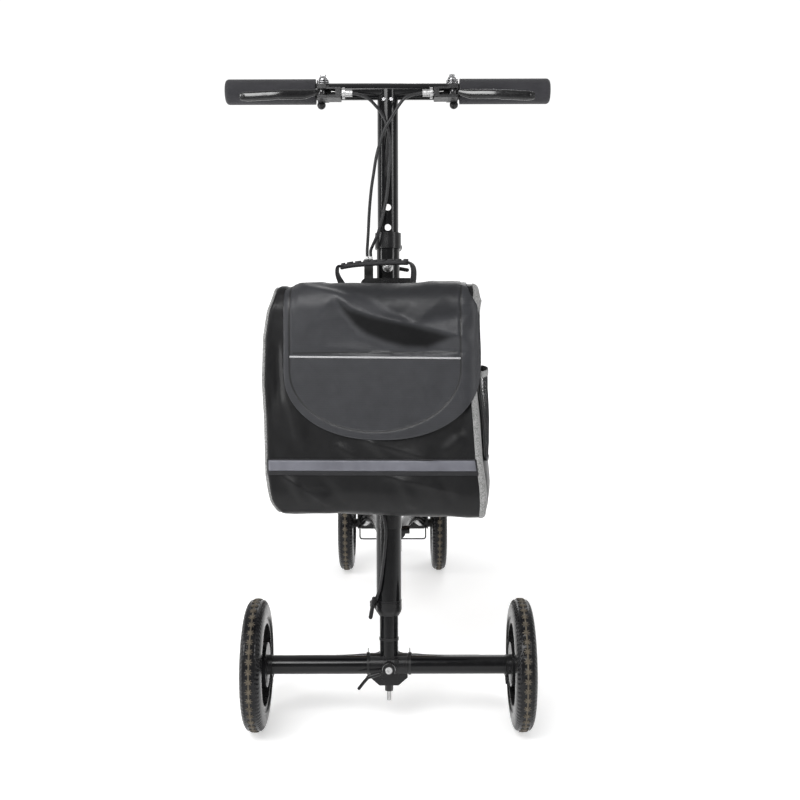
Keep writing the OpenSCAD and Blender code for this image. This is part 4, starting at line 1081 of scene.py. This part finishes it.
# ---------- knee pads ----------
def cushion(side, word):
    """A foam cushion under vinyl: cloth with a little pressure, then piping over its seams."""
    half_w, half_l, round_r, frames = 41.0, 162.0, 18.0, 14
    cx, cy = side * (6.0 + half_w), POST_Y + 30
    low, high = PAD_BASE + 0.5, PAD_TOP - 4
    work = bmesh.new()
    bmesh.ops.create_cube(work, size=2)
    bmesh.ops.subdivide_edges(work, edges=work.edges, cuts=9, use_grid_fill=True)
    for v in work.verts:
        x, y, z = v.co
        px, py = x * half_w, y * half_l
        dx, dy = max(0, abs(px) - half_w + round_r), max(0, abs(py) - half_l + round_r)
        d = math.hypot(dx, dy)
        if d > round_r:
            px = math.copysign(half_w - round_r + dx * round_r / d, px)
            py = math.copysign(half_l - round_r + dy * round_r / d, py)
        upper_edge = float(smooth(0.75, 1.0, z))
        dome = 3.0 * (1 - x ** 4) * (1 - y ** 8) if z > 0.9 else 0
        v.co = ((cx + px * (1 - 0.07 * upper_edge)) * MM, (cy + py * (1 - 0.02 * upper_edge)) * MM,
                (low + (high - low) * (z + 1) / 2 + dome) * MM)
    obj = mesh("cushion_" + word, [], [])
    work.to_mesh(obj.data)
    work.free()
    select(obj)
    obj.data.remesh_voxel_size = 5 * MM
    bpy.ops.object.voxel_remesh()
    before = np.array([v.co for v in obj.data.vertices])
    pin = obj.vertex_groups.new(name="held")
    pin.add([i for i, p in enumerate(before) if p[2] < (low + 3) * MM], 1.0, "REPLACE")
    sim = obj.modifiers.new("cloth", "CLOTH")
    sim.settings.use_pressure = True
    sim.settings.uniform_pressure_force = 3.0
    sim.settings.vertex_group_mass = "held"
    sim.settings.effector_weights.gravity = 0
    sim.point_cache.frame_start, sim.point_cache.frame_end = 1, frames
    for f in range(1, frames + 1):
        scene.frame_set(f)
    graph = bpy.context.evaluated_depsgraph_get()
    move = np.array([v.co for v in obj.evaluated_get(graph).data.vertices]) - before
    obj.modifiers.remove(sim)
    cap = 4.0 * MM
    after = before + move * np.minimum(1, cap / np.maximum(np.linalg.norm(move, axis=1, keepdims=True), 1e-9))
    after[:, 2] = np.clip(after[:, 2], low * MM, (PAD_TOP + 1.5) * MM)
    obj.data.vertices.foreach_set("co", after.reshape(-1).astype(np.float32))
    obj.data.update()
    scene.frame_set(1)
    sub = obj.modifiers.new("smooth", "SUBSURF")
    sub.levels = sub.render_levels = 1
    apply_modifiers(obj)
    obj.data.polygons.foreach_set("use_smooth", [True] * len(obj.data.polygons))
    finish_piece(obj, "knee_support", VINYL, "pad_cover", "knee_pads")
    for level, z, grow in (("top", PAD_TOP - 9, 0.2), ("base", PAD_BASE + 3, 0.8)):
        edge = superellipse(half_w + grow, half_l + grow, 0.28, 0.12, 96) + (cx, cy)
        welt = sweep(f"welt_{level}_{word}", plain(np.column_stack([edge, np.full(96, z)])), round_section(1.8, 10),
                     (0, 0, 1), closed=True)
        finish_piece(welt, "knee_support", VINYL, "pad_cover")


for side, word in SIDES:
    cushion(side, word)

# ---------- studio ----------
floor = mesh("floor", [(-14, -14, 0), (14, -14, 0), (14, 14, 0), (-14, 14, 0)], [(0, 1, 2, 3)], False)
pale = Shade("studio_floor", Specular_IOR_Level=0.1, Emission_Strength=0.82)
pale.base(pale.noise(0.6, 2), (0.3, 0.86), (0.7, 0.89))
pale.rough(pale.noise(2, 2), (0.3, 0.85), (0.7, 0.95))
pale.to("Emission Color", pale.mix(pale.fade(pale.split(pale.place)[1], 0.3, 2.2), grey(0.52), grey(1.0)))
paint(floor, pale.material)

world = bpy.data.worlds.new("studio")
scene.world = world
world.use_nodes = True
sky = Nodes(world.node_tree)
_, north, up = sky.split(sky.add("TexCoord").outputs["Generated"])
far = sky.mul(sky.fade(north, -0.1, 0.4, 0.03, 1.08), sky.fade(up, 0.16, 0.4, 1.0, 0.25))
horizon = sky.maths("MAXIMUM", far, sky.fade(up, 0.12, 0.5, 0.5, 0.05))
backdrop = world.node_tree.nodes["Background"].inputs
backdrop["Color"].default_value = (1, 1, 1, 1)
sky.feed(backdrop["Strength"], sky.maths("MAXIMUM", horizon, sky.fade(up, -0.05, 0.6, 0.03, 0.22)))


def lamp(name, kind, energy):
    obj = bpy.data.objects.new(name, bpy.data.lights.new(name, kind))
    obj.data.energy = energy
    scene.collection.objects.link(obj)
    return obj


AIM = Vector((0, -0.3, 0.5))
SOFTBOXES = (("key", (-0.9, -2.3, 2.6), 1.7, 1.1, 58), ("fill", (2.1, -1.5, 1.5), 0.4, 1.6, 14),
             ("strip", (-2.2, -0.8, 0.9), 0.3, 1.6, 20), ("rim", (0.6, 2.2, 1.9), 1.2, 1.2, 16))
for name, place, width, height, power in SOFTBOXES:
    box = lamp(name, "AREA", power)
    box.data.shape, box.data.size, box.data.size_y = "RECTANGLE", width, height
    box.location = place
    box.rotation_euler = (AIM - Vector(place)).to_track_quat("-Z", "Y").to_euler()
sun = lamp("sun", "SUN", 0.6)
sun.data.angle = math.radians(100)
sun.rotation_euler = (math.radians(-20), 0, 0)

CAMERA_PLACE = (0.022, -1.912, 0.844)
CAMERA_PITCH, CAMERA_ROLL, CAMERA_YAW = math.radians(11.9), math.radians(-0.17), math.radians(0.148)
camera = bpy.data.objects.new("camera", bpy.data.cameras.new("camera"))
scene.collection.objects.link(camera)
camera.data.sensor_width, camera.data.lens = 36.0, 49.61
camera.data.clip_start, camera.data.clip_end = 0.05, 60
turn = Matrix.Rotation(math.pi / 2 - CAMERA_PITCH, 4, "X") @ Matrix.Rotation(CAMERA_ROLL, 4, "Z")
camera.matrix_world = Matrix.Translation(CAMERA_PLACE) @ Matrix.Rotation(CAMERA_YAW, 4, "Z") @ turn
scene.camera = camera
scene.view_settings.view_transform = "Standard"
